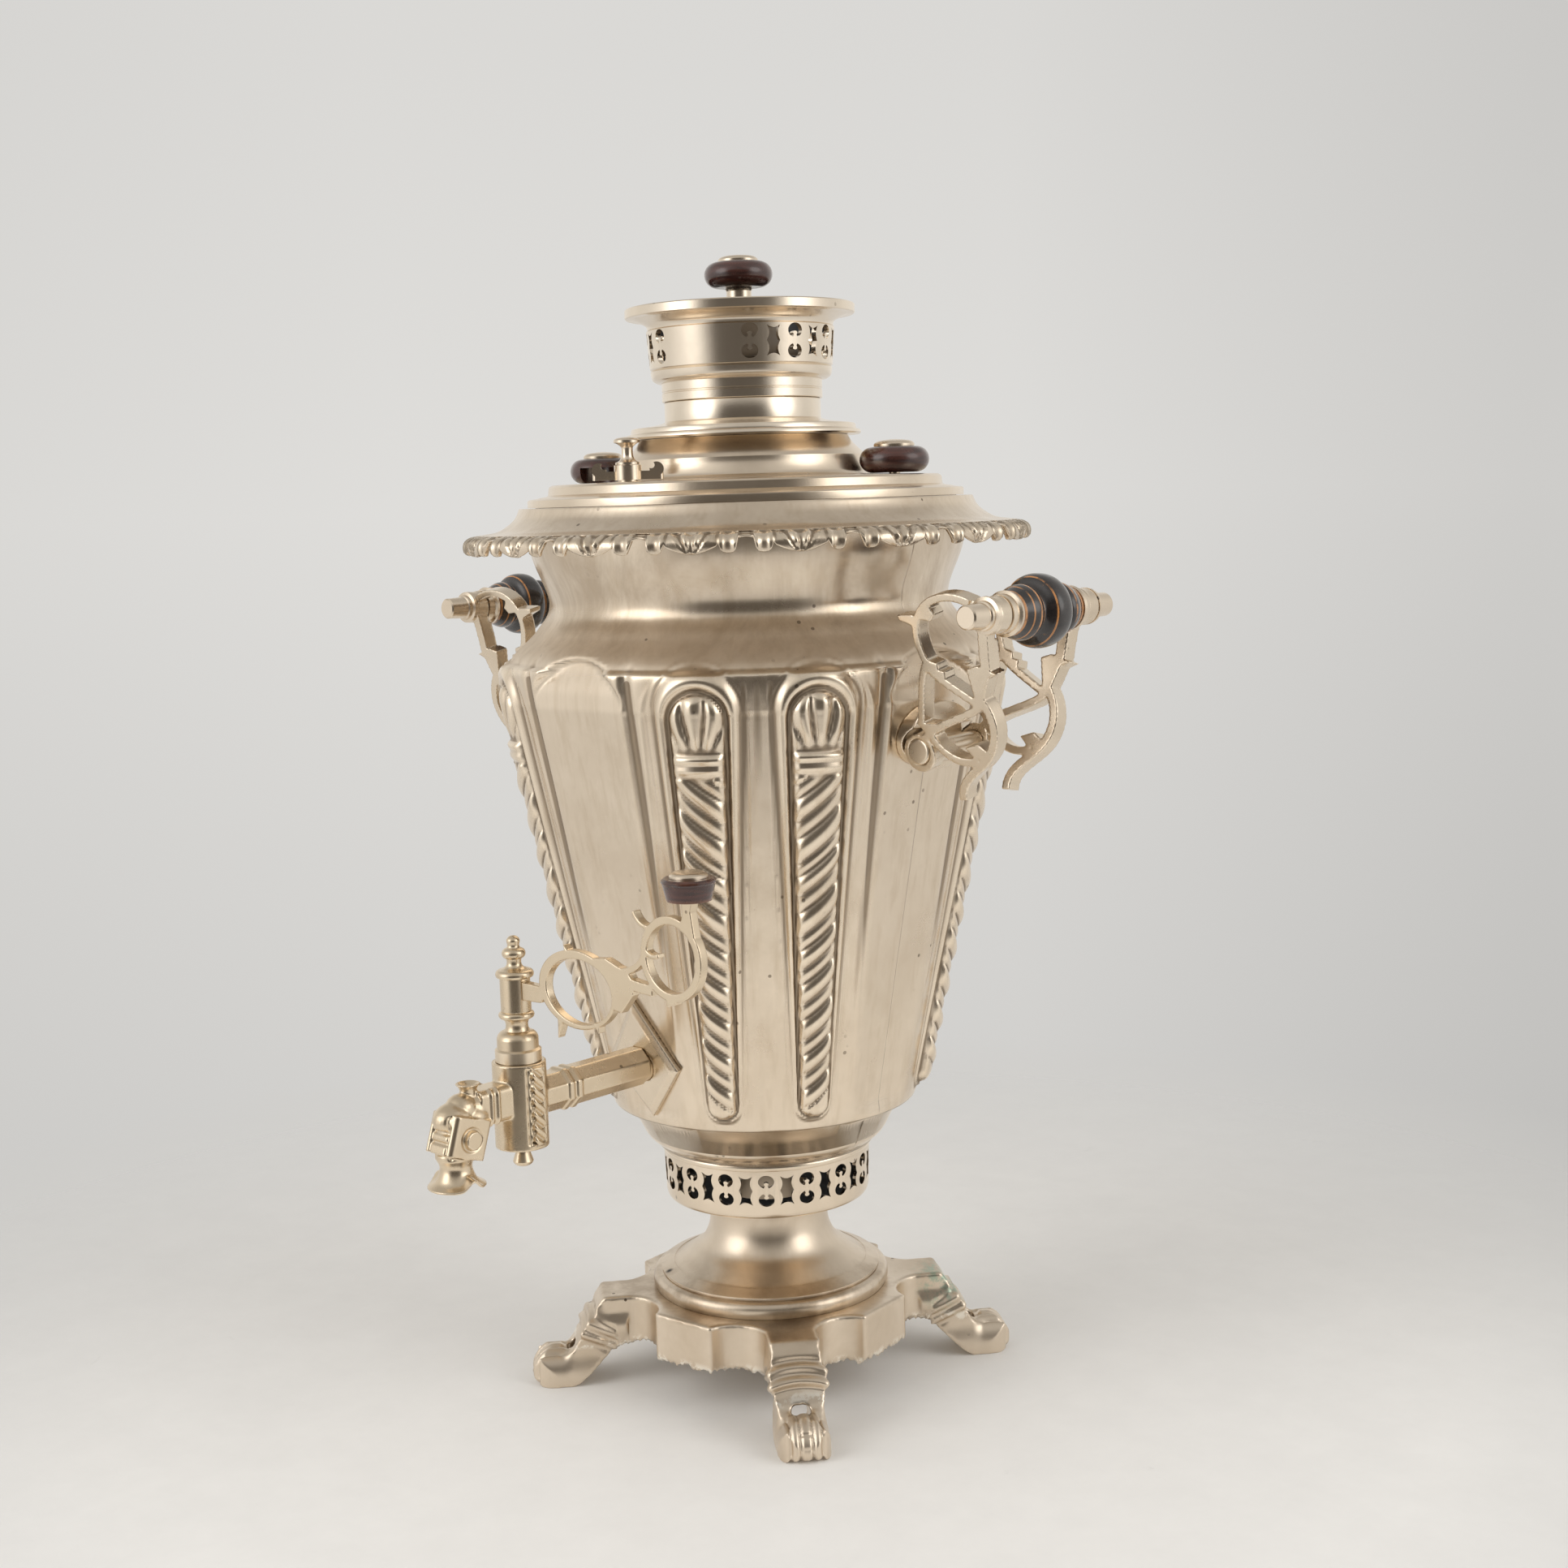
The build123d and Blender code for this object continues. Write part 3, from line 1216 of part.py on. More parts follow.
key_hub_z = collar_foot + 30
with BuildPart() as key_handle:
    with BuildSketch(Plane.XZ.offset(tap_reach)):
        hub = key_hub_z
        # The short neck and the first, oval ring.
        with BuildLine():
            Polyline((5.5, hub - 4), (18, hub - 3.4), (20, hub - 1), (20, hub + 3.4), (18, hub + 3.4))
            Polyline((18, hub + 3.4), (5.5, hub + 3.8), (5.5, hub - 4))
        make_face()
        with Locations((40, hub + 5)):
            Ellipse(22.6, 16.0)
        # The web between the rings.
        with BuildLine():
            Polyline(
                (50, hub + 19),
                (58, hub + 20),
                (65, hub + 17.6),
                (70.5, hub + 16.4),
                (74, hub + 11.5),
                (73, hub + 7.2),
                (66, hub - 0.8),
                (60, hub),
                (52, hub + 2),
                close=True,
            )
        make_face()
        with Locations((41.2, hub + 4.3)):
            Ellipse(19.4, 13.2, mode=Mode.SUBTRACT)
        # The second ring, left open where its end curls in, and its branch to the web.
        with Locations((94.7, hub + 24.2)):
            Circle(16.6)
            Circle(13.3, mode=Mode.SUBTRACT)
        with BuildLine():
            Spline((69, hub + 12), (76, hub + 11), (84, hub + 10.5))
        trace(line_width=4.4)
        with BuildLine():
            Spline((67, hub + 15.8), (74, hub + 18.2), (79.5, hub + 23.5), (80.5, hub + 28))
        trace(line_width=2.6)
        with BuildLine():
            Spline((80.6, hub + 26), (83.5, hub + 24.2), (88, hub + 24.6))
        trace(line_width=1.8)
        # The leaf spurs and the stem under the knob.
        with BuildLine():
            Spline((82.5, hub + 35), (78, hub + 36.4), (74.6, hub + 40.6))
        trace(line_width=1.7)
        spurs = ((36, 18.5), (33.2, 22.6)), ((29.5, -9), (27.8, -16.4)), ((51, -7), (52.4, -11.4))
        for foot, tip in spurs:
            with BuildLine():
                Polyline(
                    (foot[0] - 1.6, hub + foot[1]),
                    (tip[0], hub + tip[1]),
                    (foot[0] + 1.6, hub + foot[1]),
                    close=True,
                )
            make_face()
        with BuildLine():
            Polyline((91.5, hub + 8.6), (92, hub + 5.4), (96.6, hub + 6.6), (97.4, hub + 9), close=True)
        make_face()
        with BuildLine():
            Polyline(
                (100.5, hub + 36),
                (102.2, hub + 43.5),
                (101.2, hub + 47.6),
                (107.6, hub + 47.6),
                (106.4, hub + 43.5),
                (108.5, hub + 32),
                close=True,
            )
        make_face()
    extrude(amount=handle_thickness / 2, both=True)
    # The neck is brazed round the key's post, so it follows that cylinder.
    with BuildSketch(Plane.XY.offset(key_hub_z - 10)):
        with Locations((0, -tap_reach)):
            Circle(key_post_radius + FIXED_CLEARANCE)
    extrude(amount=20, mode=Mode.SUBTRACT)
    # The rivet that the wooden knob turns on.
    with BuildSketch(Plane.XY.offset(key_hub_z + 46)):
        with Locations((104.4, -tap_reach)):
            Circle(1.8)
    extrude(amount=9)
key_handle.part.label = "key_handle"

knob_foot = key_hub_z + 47.8
with BuildPart() as key_knob_blank:
    with BuildSketch(Plane.XZ):
        with BuildLine():
            z = knob_foot
            Polyline(
                (1.85, z),
                (8.6, z),
                (10.2, z + 6.6),
                (10.5, z + 7.0),
                (10.5, z + 7.9),
                (9.6, z + 8.6),
                (1.85, z + 8.6),
                close=True,
            )
        make_face()
    revolve(axis=Axis.Z)
key_knob = Location((104.4, -tap_reach, 0)) * key_knob_blank.part
key_knob.label = "key_knob"

with BuildPart() as key_button_blank:
    with BuildSketch(Plane.XZ):
        with BuildLine():
            z = knob_foot + 8.7
            Polyline((0, z), (7.4, z), (7.4, z + 0.8))
            Spline((7.4, z + 0.8), (4.2, z + 2.4), (0, z + 2.8), tangents=((-0.5, 1), (-1, 0)))
            Line((0, z + 2.8), (0, z))
        make_face()
    revolve(axis=Axis.Z)
key_button = Location((104.4, -tap_reach, 0)) * key_button_blank.part
key_button.label = "key_button"


# ---- Carrying handles ---------------------------------------------------------------------
# Everything is drawn for the handle on +X; the one on -X is its mirror image.
def bracket_plane(side):
    """The plane of one scroll bracket: its x outwards, its y up, leaning to the middle."""
    lean = radians(bracket_tilt)
    up = Vector(0, side * sin(lean), cos(lean))
    normal = Vector(1, 0, 0).cross(up)
    return Plane(origin=(0, side * bracket_eye_y, grip_z), x_dir=(1, 0, 0), z_dir=normal)


def scroll(points, width):
    """One band of a scroll, drawn as a smooth line through its points."""
    with BuildLine() as path:
        Spline(*[(grip_reach + out, up) for out, up in points])
    trace(path.line, line_width=width)


def leaf(points):
    """A small flat leaf or tooth at the edge of a band."""
    with BuildLine() as edge_line:
        Polyline(*[(grip_reach + out, up) for out, up in points], close=True)
    make_face(edge_line.edges())


def bracket(side):
    """One openwork bracket, from its eye on the grip's rod to its eye on the saddle's pin."""
    band = bracket_band
    saddle_drop = (saddle_z - grip_z) / cos(radians(bracket_tilt))
    pin_out = saddle_reach - grip_reach
    with BuildPart() as casting:
        with BuildSketch(bracket_plane(side)):
            with Locations((grip_reach, 0)):
                Circle(7.2)
            # Strut with its leaf collar, then the outer curve and its tail.
            scroll([(-3.5, -4), (-4.4, -13), (-5.0, -22)], band + 1.6)
            leaf([(-14.5, -21.5), (-9, -20), (0.5, -23.2), (-4, -25), (-8.5, -36), (-12, -36)])
            outer = [(-10, -34), (-6, -41), (-5.4, -49), (-9, -57), (-17, -64), (-23.5, -70), (-25.5, -77)]
            scroll(outer, band + 0.6)
            # The long diagonal down from the loop, toothed at its upper end.
            scroll([(-36, -20), (-27, -27), (-16, -33.5), (-9.5, -37.5)], band)
            leaf([(-36, -17.5), (-29, -19.5), (-28.5, -22.5), (-25.5, -22.8), (-26, -27.5), (-33, -24)])
            # The loop over the top with its leaf towards the tank.
            over = [(-3, 2), (-12, 6.6), (-22, 7.6), (-32, 3.6), (-37, -4), (-36.6, -14), (-33.5, -21)]
            scroll(over, band)
            leaf([(-37.8, 0.5), (-46, 0.2), (-45.4, -1.8), (-38.4, -4.6)])
            leaf([(-30.5, 6.5), (-26.5, 0.6), (-29.2, -2.2), (-36.4, -1.5)])
            # Down the tank's side to the foot leaf.
            scroll([(-35, -20), (-38.3, -28), (-40, -36), (-42, -45.5)], band)
            leaf([(-44.5, -45), (-29, -45), (-30, -47), (-40, -49.2)])
            # The lower diagonal to the pin and the small arc beneath it.
            scroll([(-10, -36.5), (-20, -41.5), (-32, -46), (pin_out + 3, saddle_drop + 6)], band)
            scroll([(-38, -49), (-33, -56), (-25.5, -60), (-15, -59.5)], band)
            leaf([(-16, -59.5), (-21, -54.5), (-14, -52.5), (-8, -57)])
            with Locations((saddle_reach, saddle_drop)):
                Circle(saddle_pin_radius + 2.6)
        extrude(amount=bracket_depth / 2, both=True)
        # The eyes are square to the rod and the pin, with their bores.
        with BuildSketch(Plane.XZ.offset(-side * bracket_eye_y)):
            with Locations((grip_reach, grip_z)):
                Circle(7.4)
        extrude(amount=bracket_depth / 2, both=True)
        with BuildSketch(Plane.XZ):
            with Locations((grip_reach, grip_z)):
                Circle(grip_rod_radius + FIXED_CLEARANCE)
            with Locations((saddle_reach, saddle_z)):
                Circle(saddle_pin_radius + FIXED_CLEARANCE)
        extrude(amount=60, both=True, mode=Mode.SUBTRACT)
        for face_y in (bracket_eye_y - bracket_depth / 2, bracket_eye_y + bracket_depth / 2 + 12):
            with BuildSketch(Plane.XZ.offset(-side * face_y)):
                with Locations((grip_reach, grip_z)):
                    Circle(ferrule_radius + 0.4)
            extrude(amount=side * 12, mode=Mode.SUBTRACT)
    return casting.part


with BuildPart() as saddle:
    saddle_root = panel_distance(saddle_z)
    with BuildSketch(Plane.YZ.offset(saddle_root - 12)):
        with Locations((0, saddle_z + 5)):
            Ellipse(saddle_half_width, saddle_half_height)
    extrude(amount=saddle_reach - saddle_root + 8)
    with BuildSketch(Plane.XZ.offset(-saddle_half_width - 1)):
        with Locations((saddle_reach, saddle_z)):
            Circle(saddle_pin_radius)
    extrude(amount=2 * saddle_half_width + 2)
    # Room for the two bracket eyes.
    eye_y = bracket_eye_y - (grip_z - saddle_z) * sin(radians(bracket_tilt)) / cos(radians(bracket_tilt))
    for side in (-1, 1):
        with BuildSketch(Plane.XZ.offset(-side * eye_y)):
            with Locations((saddle_reach, saddle_z)):
                Circle(saddle_pin_radius + 4.5)
                Circle(saddle_pin_radius, mode=Mode.SUBTRACT)
        extrude(amount=bracket_depth / 2 + 1.8, both=True, mode=Mode.SUBTRACT)
    add(tank_outside, mode=Mode.SUBTRACT)

with BuildPart() as grip:
    with BuildSketch(Plane.XY.offset(grip_z)):
        with BuildLine():
            half = grip_half
            big = grip_radius
            left = [
                (-grip_rod_radius - FIXED_CLEARANCE, -half),
                (-8.6, -half),
                (-8.8, -half + 1.5),
            ]
            Polyline(*[(grip_reach + x, y) for x, y in left])
            for sign in (-1, 1):
                shoulder = [(-8.8, 1.5), (-10.4, 5), (-11.2, 8.5), (-9.8, 11.5)]
                Spline(*[(grip_reach + x, sign * (half - down)) for x, down in shoulder])
                Spline(
                    *[
                        (grip_reach + x, sign * y)
                        for x, y in ((-9.8, half - 11.5), (-13.2, 5.4), (-big, 0.0))
                    ],
                    tangents=((-0.2, -sign), (0, -sign)) if sign > 0 else ((-0.2, 1), (0, 1)),
                )
            Polyline(
                *[
                    (grip_reach + x, y)
                    for x, y in (
                        (-8.8, half - 1.5),
                        (-8.6, half),
                        (-grip_rod_radius - FIXED_CLEARANCE, half),
                        (-grip_rod_radius - FIXED_CLEARANCE, -half),
                    )
                ]
            )
        make_face()
    revolve(axis=Axis((grip_reach, 0, grip_z), (0, 1, 0)))

with BuildPart() as grip_rod:
    with BuildSketch(Plane.XZ.offset(-bracket_eye_y - 9)):
        with Locations((grip_reach, grip_z)):
            Circle(grip_rod_radius)
    extrude(amount=2 * bracket_eye_y + 18)

eye_face = bracket_eye_y - bracket_depth / 2
with BuildPart() as ferrules:
    for side in (-1, 1):
        with BuildSketch(Plane(origin=(grip_reach, 0, grip_z), x_dir=(0, side, 0), z_dir=(0, 0, -side))):
            with BuildLine():
                Polyline(
                    (grip_half + 0.1, grip_rod_radius + FIXED_CLEARANCE),
                    (grip_half + 0.1, 9.0),
                    (grip_half + 1.6, ferrule_radius),
                    (grip_half + 2.2, 8.0),
                    (eye_face - 0.1, 7.8),
                    (eye_face - 0.1, grip_rod_radius + FIXED_CLEARANCE),
                    close=True,
                )
            make_face()
        revolve(axis=Axis((grip_reach, 0, grip_z), (0, 1, 0)))

cap_root = bracket_eye_y + bracket_depth / 2 + 0.1
with BuildPart() as grip_caps:
    for side in (-1, 1):
        with BuildSketch(Plane(origin=(grip_reach, 0, grip_z), x_dir=(0, side, 0), z_dir=(0, 0, -side))):
            with BuildLine():
                Polyline(
                    (cap_root, grip_rod_radius + FIXED_CLEARANCE),
                    (cap_root, 7.6),
                    (cap_root + 1.6, 7.4),
                    (cap_root + 2.0, 6.0),
                    (cap_root + 3.6, 5.8),
                    (cap_root + 4.0, 5.2),
                    (cap_root + grip_cap_length - 0.6, 4.9),
                    (cap_root + grip_cap_length, 4.2),
                    (cap_root + grip_cap_length, 0),
                    (cap_root + 5.6, 0),
                    (cap_root + 5.6, grip_rod_radius + FIXED_CLEARANCE),
                    close=True,
                )
            make_face()
        revolve(axis=Axis((grip_reach, 0, grip_z), (0, 1, 0)))

handle_pieces = {
    "saddle": saddle.part,
    "grip": grip.part,
    "grip_rod": grip_rod.part,
    "ferrules": ferrules.part,
    "grip_caps": grip_caps.part,
    "bracket_front": bracket(-1),
    "bracket_back": bracket(1),
}

# ---- Files --------------------------------------------------------------------------------
pieces = [
    base_casting,
    pedestal.part,
    gallery.part,
    tank.part,
    fire_tube.part,
    grate.part,
    collar.part,
    lid.part,
    lid_knob_right.part,
    lid_knob_left.part,
    lid_knob_screws.part,
    vent_seat.part,
    vent_plug_part,
    crown_skirt.part,
    crown.part,
    damper.part,
    damper_stem.part,
    damper_knob.part,
    damper_screw.part,
    tap_plate.part,
    tap_body.part,
    tap_washer.part,
    tap_nut.part,
    tap_key,
    key_screw,
    key_handle.part,
    key_knob,
    key_button,
]
for name, solid in handle_pieces.items():
    mirrored_solid = mirror(solid, about=Plane.YZ)
    solid.label = f"{name}_right"
    mirrored_solid.label = f"{name}_left"
    pieces += [solid, mirrored_solid]

os.makedirs("parts", exist_ok=True)
for piece in pieces:
    export_step(piece, f"parts/{piece.label}.step")
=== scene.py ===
import json
from math import atan2, cos, exp, hypot, pi, radians, sin, sqrt

import bpy
from mathutils import Matrix, Vector
from mathutils.noise import noise as noise_3d


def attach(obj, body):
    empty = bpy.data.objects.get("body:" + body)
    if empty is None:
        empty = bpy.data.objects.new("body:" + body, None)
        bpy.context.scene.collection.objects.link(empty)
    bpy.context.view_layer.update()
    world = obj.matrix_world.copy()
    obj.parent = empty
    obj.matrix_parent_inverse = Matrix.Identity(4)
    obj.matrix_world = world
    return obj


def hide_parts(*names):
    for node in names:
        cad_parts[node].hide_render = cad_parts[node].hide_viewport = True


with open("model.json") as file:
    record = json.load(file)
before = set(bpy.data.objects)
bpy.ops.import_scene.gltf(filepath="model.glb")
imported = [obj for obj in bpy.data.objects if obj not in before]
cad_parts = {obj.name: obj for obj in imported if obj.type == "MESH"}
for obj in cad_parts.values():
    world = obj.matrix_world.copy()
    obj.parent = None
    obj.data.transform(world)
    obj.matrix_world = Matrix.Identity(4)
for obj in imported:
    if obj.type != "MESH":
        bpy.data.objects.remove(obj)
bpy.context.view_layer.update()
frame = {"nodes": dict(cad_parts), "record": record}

record = frame["record"]
nodes = frame["nodes"]

# ---- Camera ----
camera_turn = radians(44)       # round from the front, about the upright axis
camera_pitch = radians(7.496)
camera_roll = radians(-1.871)
camera_reach, camera_height = 0.97015, 0.40176
forward = Vector((0, cos(camera_pitch), -sin(camera_pitch)))
level = Vector((1, 0, 0))
upright = level.cross(forward)
across = level * cos(camera_roll) + upright * sin(camera_roll)
above = upright * cos(camera_roll) - level * sin(camera_roll)
# From the camera's level frame to the object's frame.
around = Matrix.Rotation(camera_turn, 4, "Z")
placing = Matrix((across, above, -forward)).transposed().to_4x4()
placing.translation = (0, -camera_reach, camera_height)
camera_data = bpy.data.cameras.new("camera")
camera_data.lens = 49.42
camera_data.sensor_width = 36
camera_data.shift_x = 0.01852
camera_data.shift_y = 0.000605


def add_object(name, data):
    placed = bpy.data.objects.new(name, data)
    bpy.context.collection.objects.link(placed)
    return placed


camera = add_object("camera", camera_data)
camera.matrix_world = around @ placing
bpy.context.scene.camera = camera


# ---- Shader tools ----
def plug(socket, value):
    """Links a socket, or sets its value."""
    if isinstance(value, bpy.types.NodeSocket):
        socket.id_data.links.new(value, socket)
    else:
        socket.default_value = value


def new_node(kind, settings=None, **values):
    """A node with its settings and the values of its sockets. It goes into the tree that the first
    socket among the values belongs to."""
    tree = next(value.id_data for value in values.values() if isinstance(value, bpy.types.NodeSocket))
    node = tree.nodes.new("ShaderNode" + kind)
    for key, value in (settings or {}).items():
        setattr(node, key, value)
    for key, value in values.items():
        plug(node.inputs[key.replace("_", " ")], value)
    return node


def math(operation, first, second=0.0, clamp=False, third=0.0):
    node = first.id_data.nodes.new("ShaderNodeMath")
    node.operation = operation
    node.use_clamp = clamp
    for socket, value in zip(node.inputs, (first, second, third)):
        plug(socket, value)
    return node.outputs[0]


def times(first, second, clamp=False):
    return math("MULTIPLY", first, second, clamp)


def coordinate(place, axis):
    return new_node("SeparateXYZ", Vector=place).outputs[axis]


def stretched(place, upward):
    """A place whose pattern is drawn out upwards, or pressed together above 1."""
    return new_node("Mapping", Vector=place, Scale=(1.0, 1.0, upward)).outputs[0]


def along_way(place, way):
    """How far a place lies along a way, given in the camera's level frame."""
    node = new_node("VectorMath", {"operation": "DOT_PRODUCT"}, Vector=place)
    node.inputs[1].default_value = tuple(around.to_3x3() @ Vector(way).normalized())
    return node.outputs["Value"]


def blend(share, low, high, kind="MIX"):
    """One colour over another by a share. A colour is a socket, or red, green and blue."""
    owner = share if isinstance(share, bpy.types.NodeSocket) else low
    node = owner.id_data.nodes.new("ShaderNodeMix")
    node.data_type = "RGBA"
    node.blend_type = kind
    plug(node.inputs[0], share)
    for spot, colour in ((6, low), (7, high)):
        plug(node.inputs[spot], (*colour, 1) if isinstance(colour, tuple) else colour)
    return node.outputs[2]


def ramp(value, *stops):
    """A grey ramp from (place, level) stops."""
    node = value.id_data.nodes.new("ShaderNodeValToRGB")
    stop_list = node.color_ramp.elements
    while len(stop_list) < len(stops):
        stop_list.new(0.5)
    for element, (place, tone) in zip(stop_list, stops):
        element.position = place
        element.color = (tone, tone, tone, 1)
    plug(node.inputs[0], value)
    return node.outputs[0]


def fade(value, low, high):
    """Nothing up to low, one from high on."""
    return ramp(value, (low, 0.0), (high, 1.0))


def noise(place, scale, detail=4.0, roughness=0.55, distortion=0.0):
    node = new_node("TexNoise", Vector=place, Scale=scale, Detail=detail,
                    Roughness=roughness, Distortion=distortion)
    return node.outputs[0]


def start_group(name, inputs, outputs):
    """A node group with a place and named numbers going in, and named numbers coming out."""
    tree = bpy.data.node_groups.new(name, "ShaderNodeTree")
    new_socket = tree.interface.new_socket
    new_socket("Place", in_out="INPUT", socket_type="NodeSocketVector")
    for label in inputs:
        new_socket(label, in_out="INPUT", socket_type="NodeSocketFloat").default_value = 0.5
    for label in outputs:
        new_socket(label, in_out="OUTPUT", socket_type="NodeSocketFloat")
    return tree, tree.nodes.new("NodeGroupInput").outputs, tree.nodes.new("NodeGroupOutput").inputs


def use_group(group, **values):
    return new_node("Group", {"node_tree": group}, **values).outputs


# Brown specks and soft brown clouds, as old plating gets them.
tarnish, at, out = start_group("tarnish", ("Clouds", "Specks"), ("Cloud", "Speck", "Tone"))
cloud = noise(at["Place"], 14.0, 5.0, 0.62, 0.6)
cloud = fade(cloud, 0.46, 0.74)
plug(out["Cloud"], times(cloud, at["Clouds"], True))
speck_cells = new_node("TexVoronoi", Vector=at["Place"], Scale=150.0).outputs
speck_size = math("LESS_THAN", speck_cells["Distance"], 0.13)
speck_lot = fade(noise(at["Place"], 26.0, 3.0), 0.56, 0.62)
speck = times(speck_size, speck_lot)
plug(out["Speck"], times(speck, at["Specks"], True))
plug(out["Tone"], noise(at["Place"], 45.0, 5.0, 0.6))

# Bright rubbed edges, and hollows darkened with dirt and painted shade.
wear_and_shade, at, out = start_group("wear_and_shade", ("Edge", "Hollow"), ("Edge", "Hollow"))
bend = wear_and_shade.nodes.new("ShaderNodeNewGeometry").outputs["Pointiness"]
ragged = math("MULTIPLY_ADD", noise(at["Place"], 90.0, 4.0), 0.05, third=-0.025)
rough_bend = math("ADD", bend, ragged)
edge_mask = fade(rough_bend, 0.54, 0.60)
# Where the surface bends inwards it is darkened: dirt, and painted shade.
hollow_dirt_and_shade = ramp(rough_bend, (0.38, 1.0), (0.455, 0.0))
plug(out["Edge"], times(edge_mask, at["Edge"], True))
plug(out["Hollow"], times(hollow_dirt_and_shade, at["Hollow"], True))

# Fine dents and rubbing lines for the bump.
handled, at, out = start_group("handled", ("Dents", "Grain"), ("Height",))
dents = times(noise(at["Place"], 30.0, 3.0), at["Dents"])
grain = times(noise(at["Place"], 700.0, 3.0, 0.6), at["Grain"])
plug(out["Height"], math("ADD", dents, grain))


bump_depth = 0.0006
speck_brown = (0.06, 0.032, 0.015)


def start_material(name):
    material = bpy.data.materials.new(name)
    material.use_nodes = True
    tree_nodes = material.node_tree.nodes
    place = tree_nodes.new("ShaderNodeTexCoord").outputs["Object"]
    return material, tree_nodes["Principled BSDF"], place


def add_bumps(shader, place, dents, grain, strength):
    """Fine dents and rubbing lines in a finish."""
    surface = use_group(handled, Place=place, Dents=dents, Grain=grain)
    bumps = new_node("Bump", Height=surface["Height"], Strength=strength,
                     Distance=bump_depth)
    plug(shader.inputs["Normal"], bumps.outputs[0])


def plain_finish(name, grain, stops, roughness, metallic=0.0, tones=()):
    """A dull finish that varies softly between two greys, or between two colours."""
    material, shader, place = start_material(name)
    colour = ramp(noise(place, *grain), *stops)
    if tones:
        colour = blend(colour, *tones)
    plug(shader.inputs["Base Color"], colour)
    plug(shader.inputs["Metallic"], metallic)
    plug(shader.inputs["Roughness"], roughness)
    return material


def metal(name, bright, brown, roughness, clouds=0.5, specks=0.6, edge=0.5, hollow=0.7, bump=0.25,
          rubbed=(0.90, 0.78, 0.62), dark=(0.13, 0.09, 0.06), stains_and_shade=None, embossed=False,
          dull=None):
    """Worn plated metal: clouds of tarnish, brown specks, rubbed edges, and hollows darkened with dirt
    and painted shade.
    An embossed piece takes its edges and hollows from its own relief attribute, and dull adds
    roughness by height."""
    material, shader, place = start_material(name)
    spots = use_group(tarnish, Place=place, Clouds=clouds, Specks=specks)
    # On an embossed piece the relief attribute also holds painted shade, lowered along the tank's
    # hollows.
    if embossed:
        attribute = shader.id_data.nodes.new("ShaderNodeAttribute")
        attribute.attribute_name = "relief"
        relief = attribute.outputs["Fac"]
        edge_wear_and_shade = {
            "Edge": times(fade(relief, 0.58, 0.85), edge),
            "Hollow": times(ramp(relief, (0.12, 1.0), (0.44, 0.0)), hollow),
        }
    else:
        edge_wear_and_shade = use_group(wear_and_shade, Place=place, Edge=edge, Hollow=hollow)
    colour = blend(spots["Cloud"], bright, brown)
    tone = fade(spots["Tone"], 0.3, 0.7)
    colour = blend(times(tone, 0.22), colour, brown)
    colour = blend(edge_wear_and_shade["Edge"], colour, rubbed)
    # The hollows are darkened here: dirt, and painted shade.
    colour = blend(edge_wear_and_shade["Hollow"], colour, dark)
    if stains_and_shade:
        colour = stains_and_shade(place, colour)
    colour = blend(spots["Speck"], colour, speck_brown)
    plug(shader.inputs["Base Color"], colour)
    plug(shader.inputs["Metallic"], 1.0)
    rough = math("MULTIPLY_ADD", spots["Tone"], 0.16, third=roughness - 0.08)
    rough = math("ADD", rough, times(edge_wear_and_shade["Hollow"], 0.25), True)
    if dull:
        rough = math("ADD", rough, ramp(coordinate(place, "Z"), *dull), True)
    plug(shader.inputs["Roughness"], rough)
    add_bumps(shader, place, 1.0, 0.06, bump)
    return material


def spot_mask(place, middle, reach):
    """One near a spot given in metres, fading out at a reach."""
    node = new_node("VectorMath", {"operation": "DISTANCE"}, Vector=place)
    node.inputs[1].default_value = middle
    return ramp(math("DIVIDE", node.outputs["Value"], reach), (0.35, 1.0), (1.0, 0.0))


def base_stains_and_shade(place, colour):
    """Brown grime round the pedestal, pale crusts along the lower edge, green on one knee, and painted
    shade in the mouth of a small hole in the plate."""
    up = times(coordinate(place, "Z"), 10.0)
    patch = fade(noise(place, 38.0, 5.0, 0.65), 0.45, 0.62)
    plate = ramp(up, (0.39, 0.0), (0.41, 1.0), (0.50, 1.0), (0.58, 0.0))
    grime = times(times(patch, plate), 0.55)
    colour = blend(grime, colour, (0.30, 0.215, 0.135))
    low_edge = ramp(up, (0.17, 0.0), (0.19, 1.0), (0.215, 1.0), (0.24, 0.0))
    crust = fade(noise(place, 110.0, 5.0, 0.7), 0.50, 0.56)
    colour = blend(times(low_edge, crust), colour, (0.86, 0.80, 0.70))
    green = fade(noise(place, 220.0, 4.0, 0.7), 0.45, 0.6)
    green = times(spot_mask(place, (0.055, 0.058, 0.036), 0.016), green)
    colour = blend(times(green, 0.8), colour, (0.26, 0.40, 0.31))
    # Painted shade: the mouth of a small hole in the plate is painted nearly black.
    hole = spot_mask(place, (-0.0243, -0.0420, 0.0504), 0.0024)
    return blend(hole, colour, (0.02, 0.014, 0.01))


def neck_stains(place, colour):
    """Rubbed brown smears round the tank's neck and fine dirt down the cone."""
    neck = ramp(coordinate(place, "Z"), (0.335, 0.0), (0.352, 1.0), (0.385, 0.8), (0.402, 0.2))
    smears = noise(stretched(place, 0.35), 30.0, 7.0, 0.72, 0.8)
    smears = times(neck, fade(smears, 0.42, 0.66))
    colour = blend(times(smears, 0.55), colour, (0.40, 0.305, 0.205))
    streaks = noise(stretched(place, 0.06), 190.0, 4.0, 0.6)
    streaks = fade(streaks, 0.48, 0.70)
    return blend(times(streaks, 0.28), colour, (0.52, 0.405, 0.275))


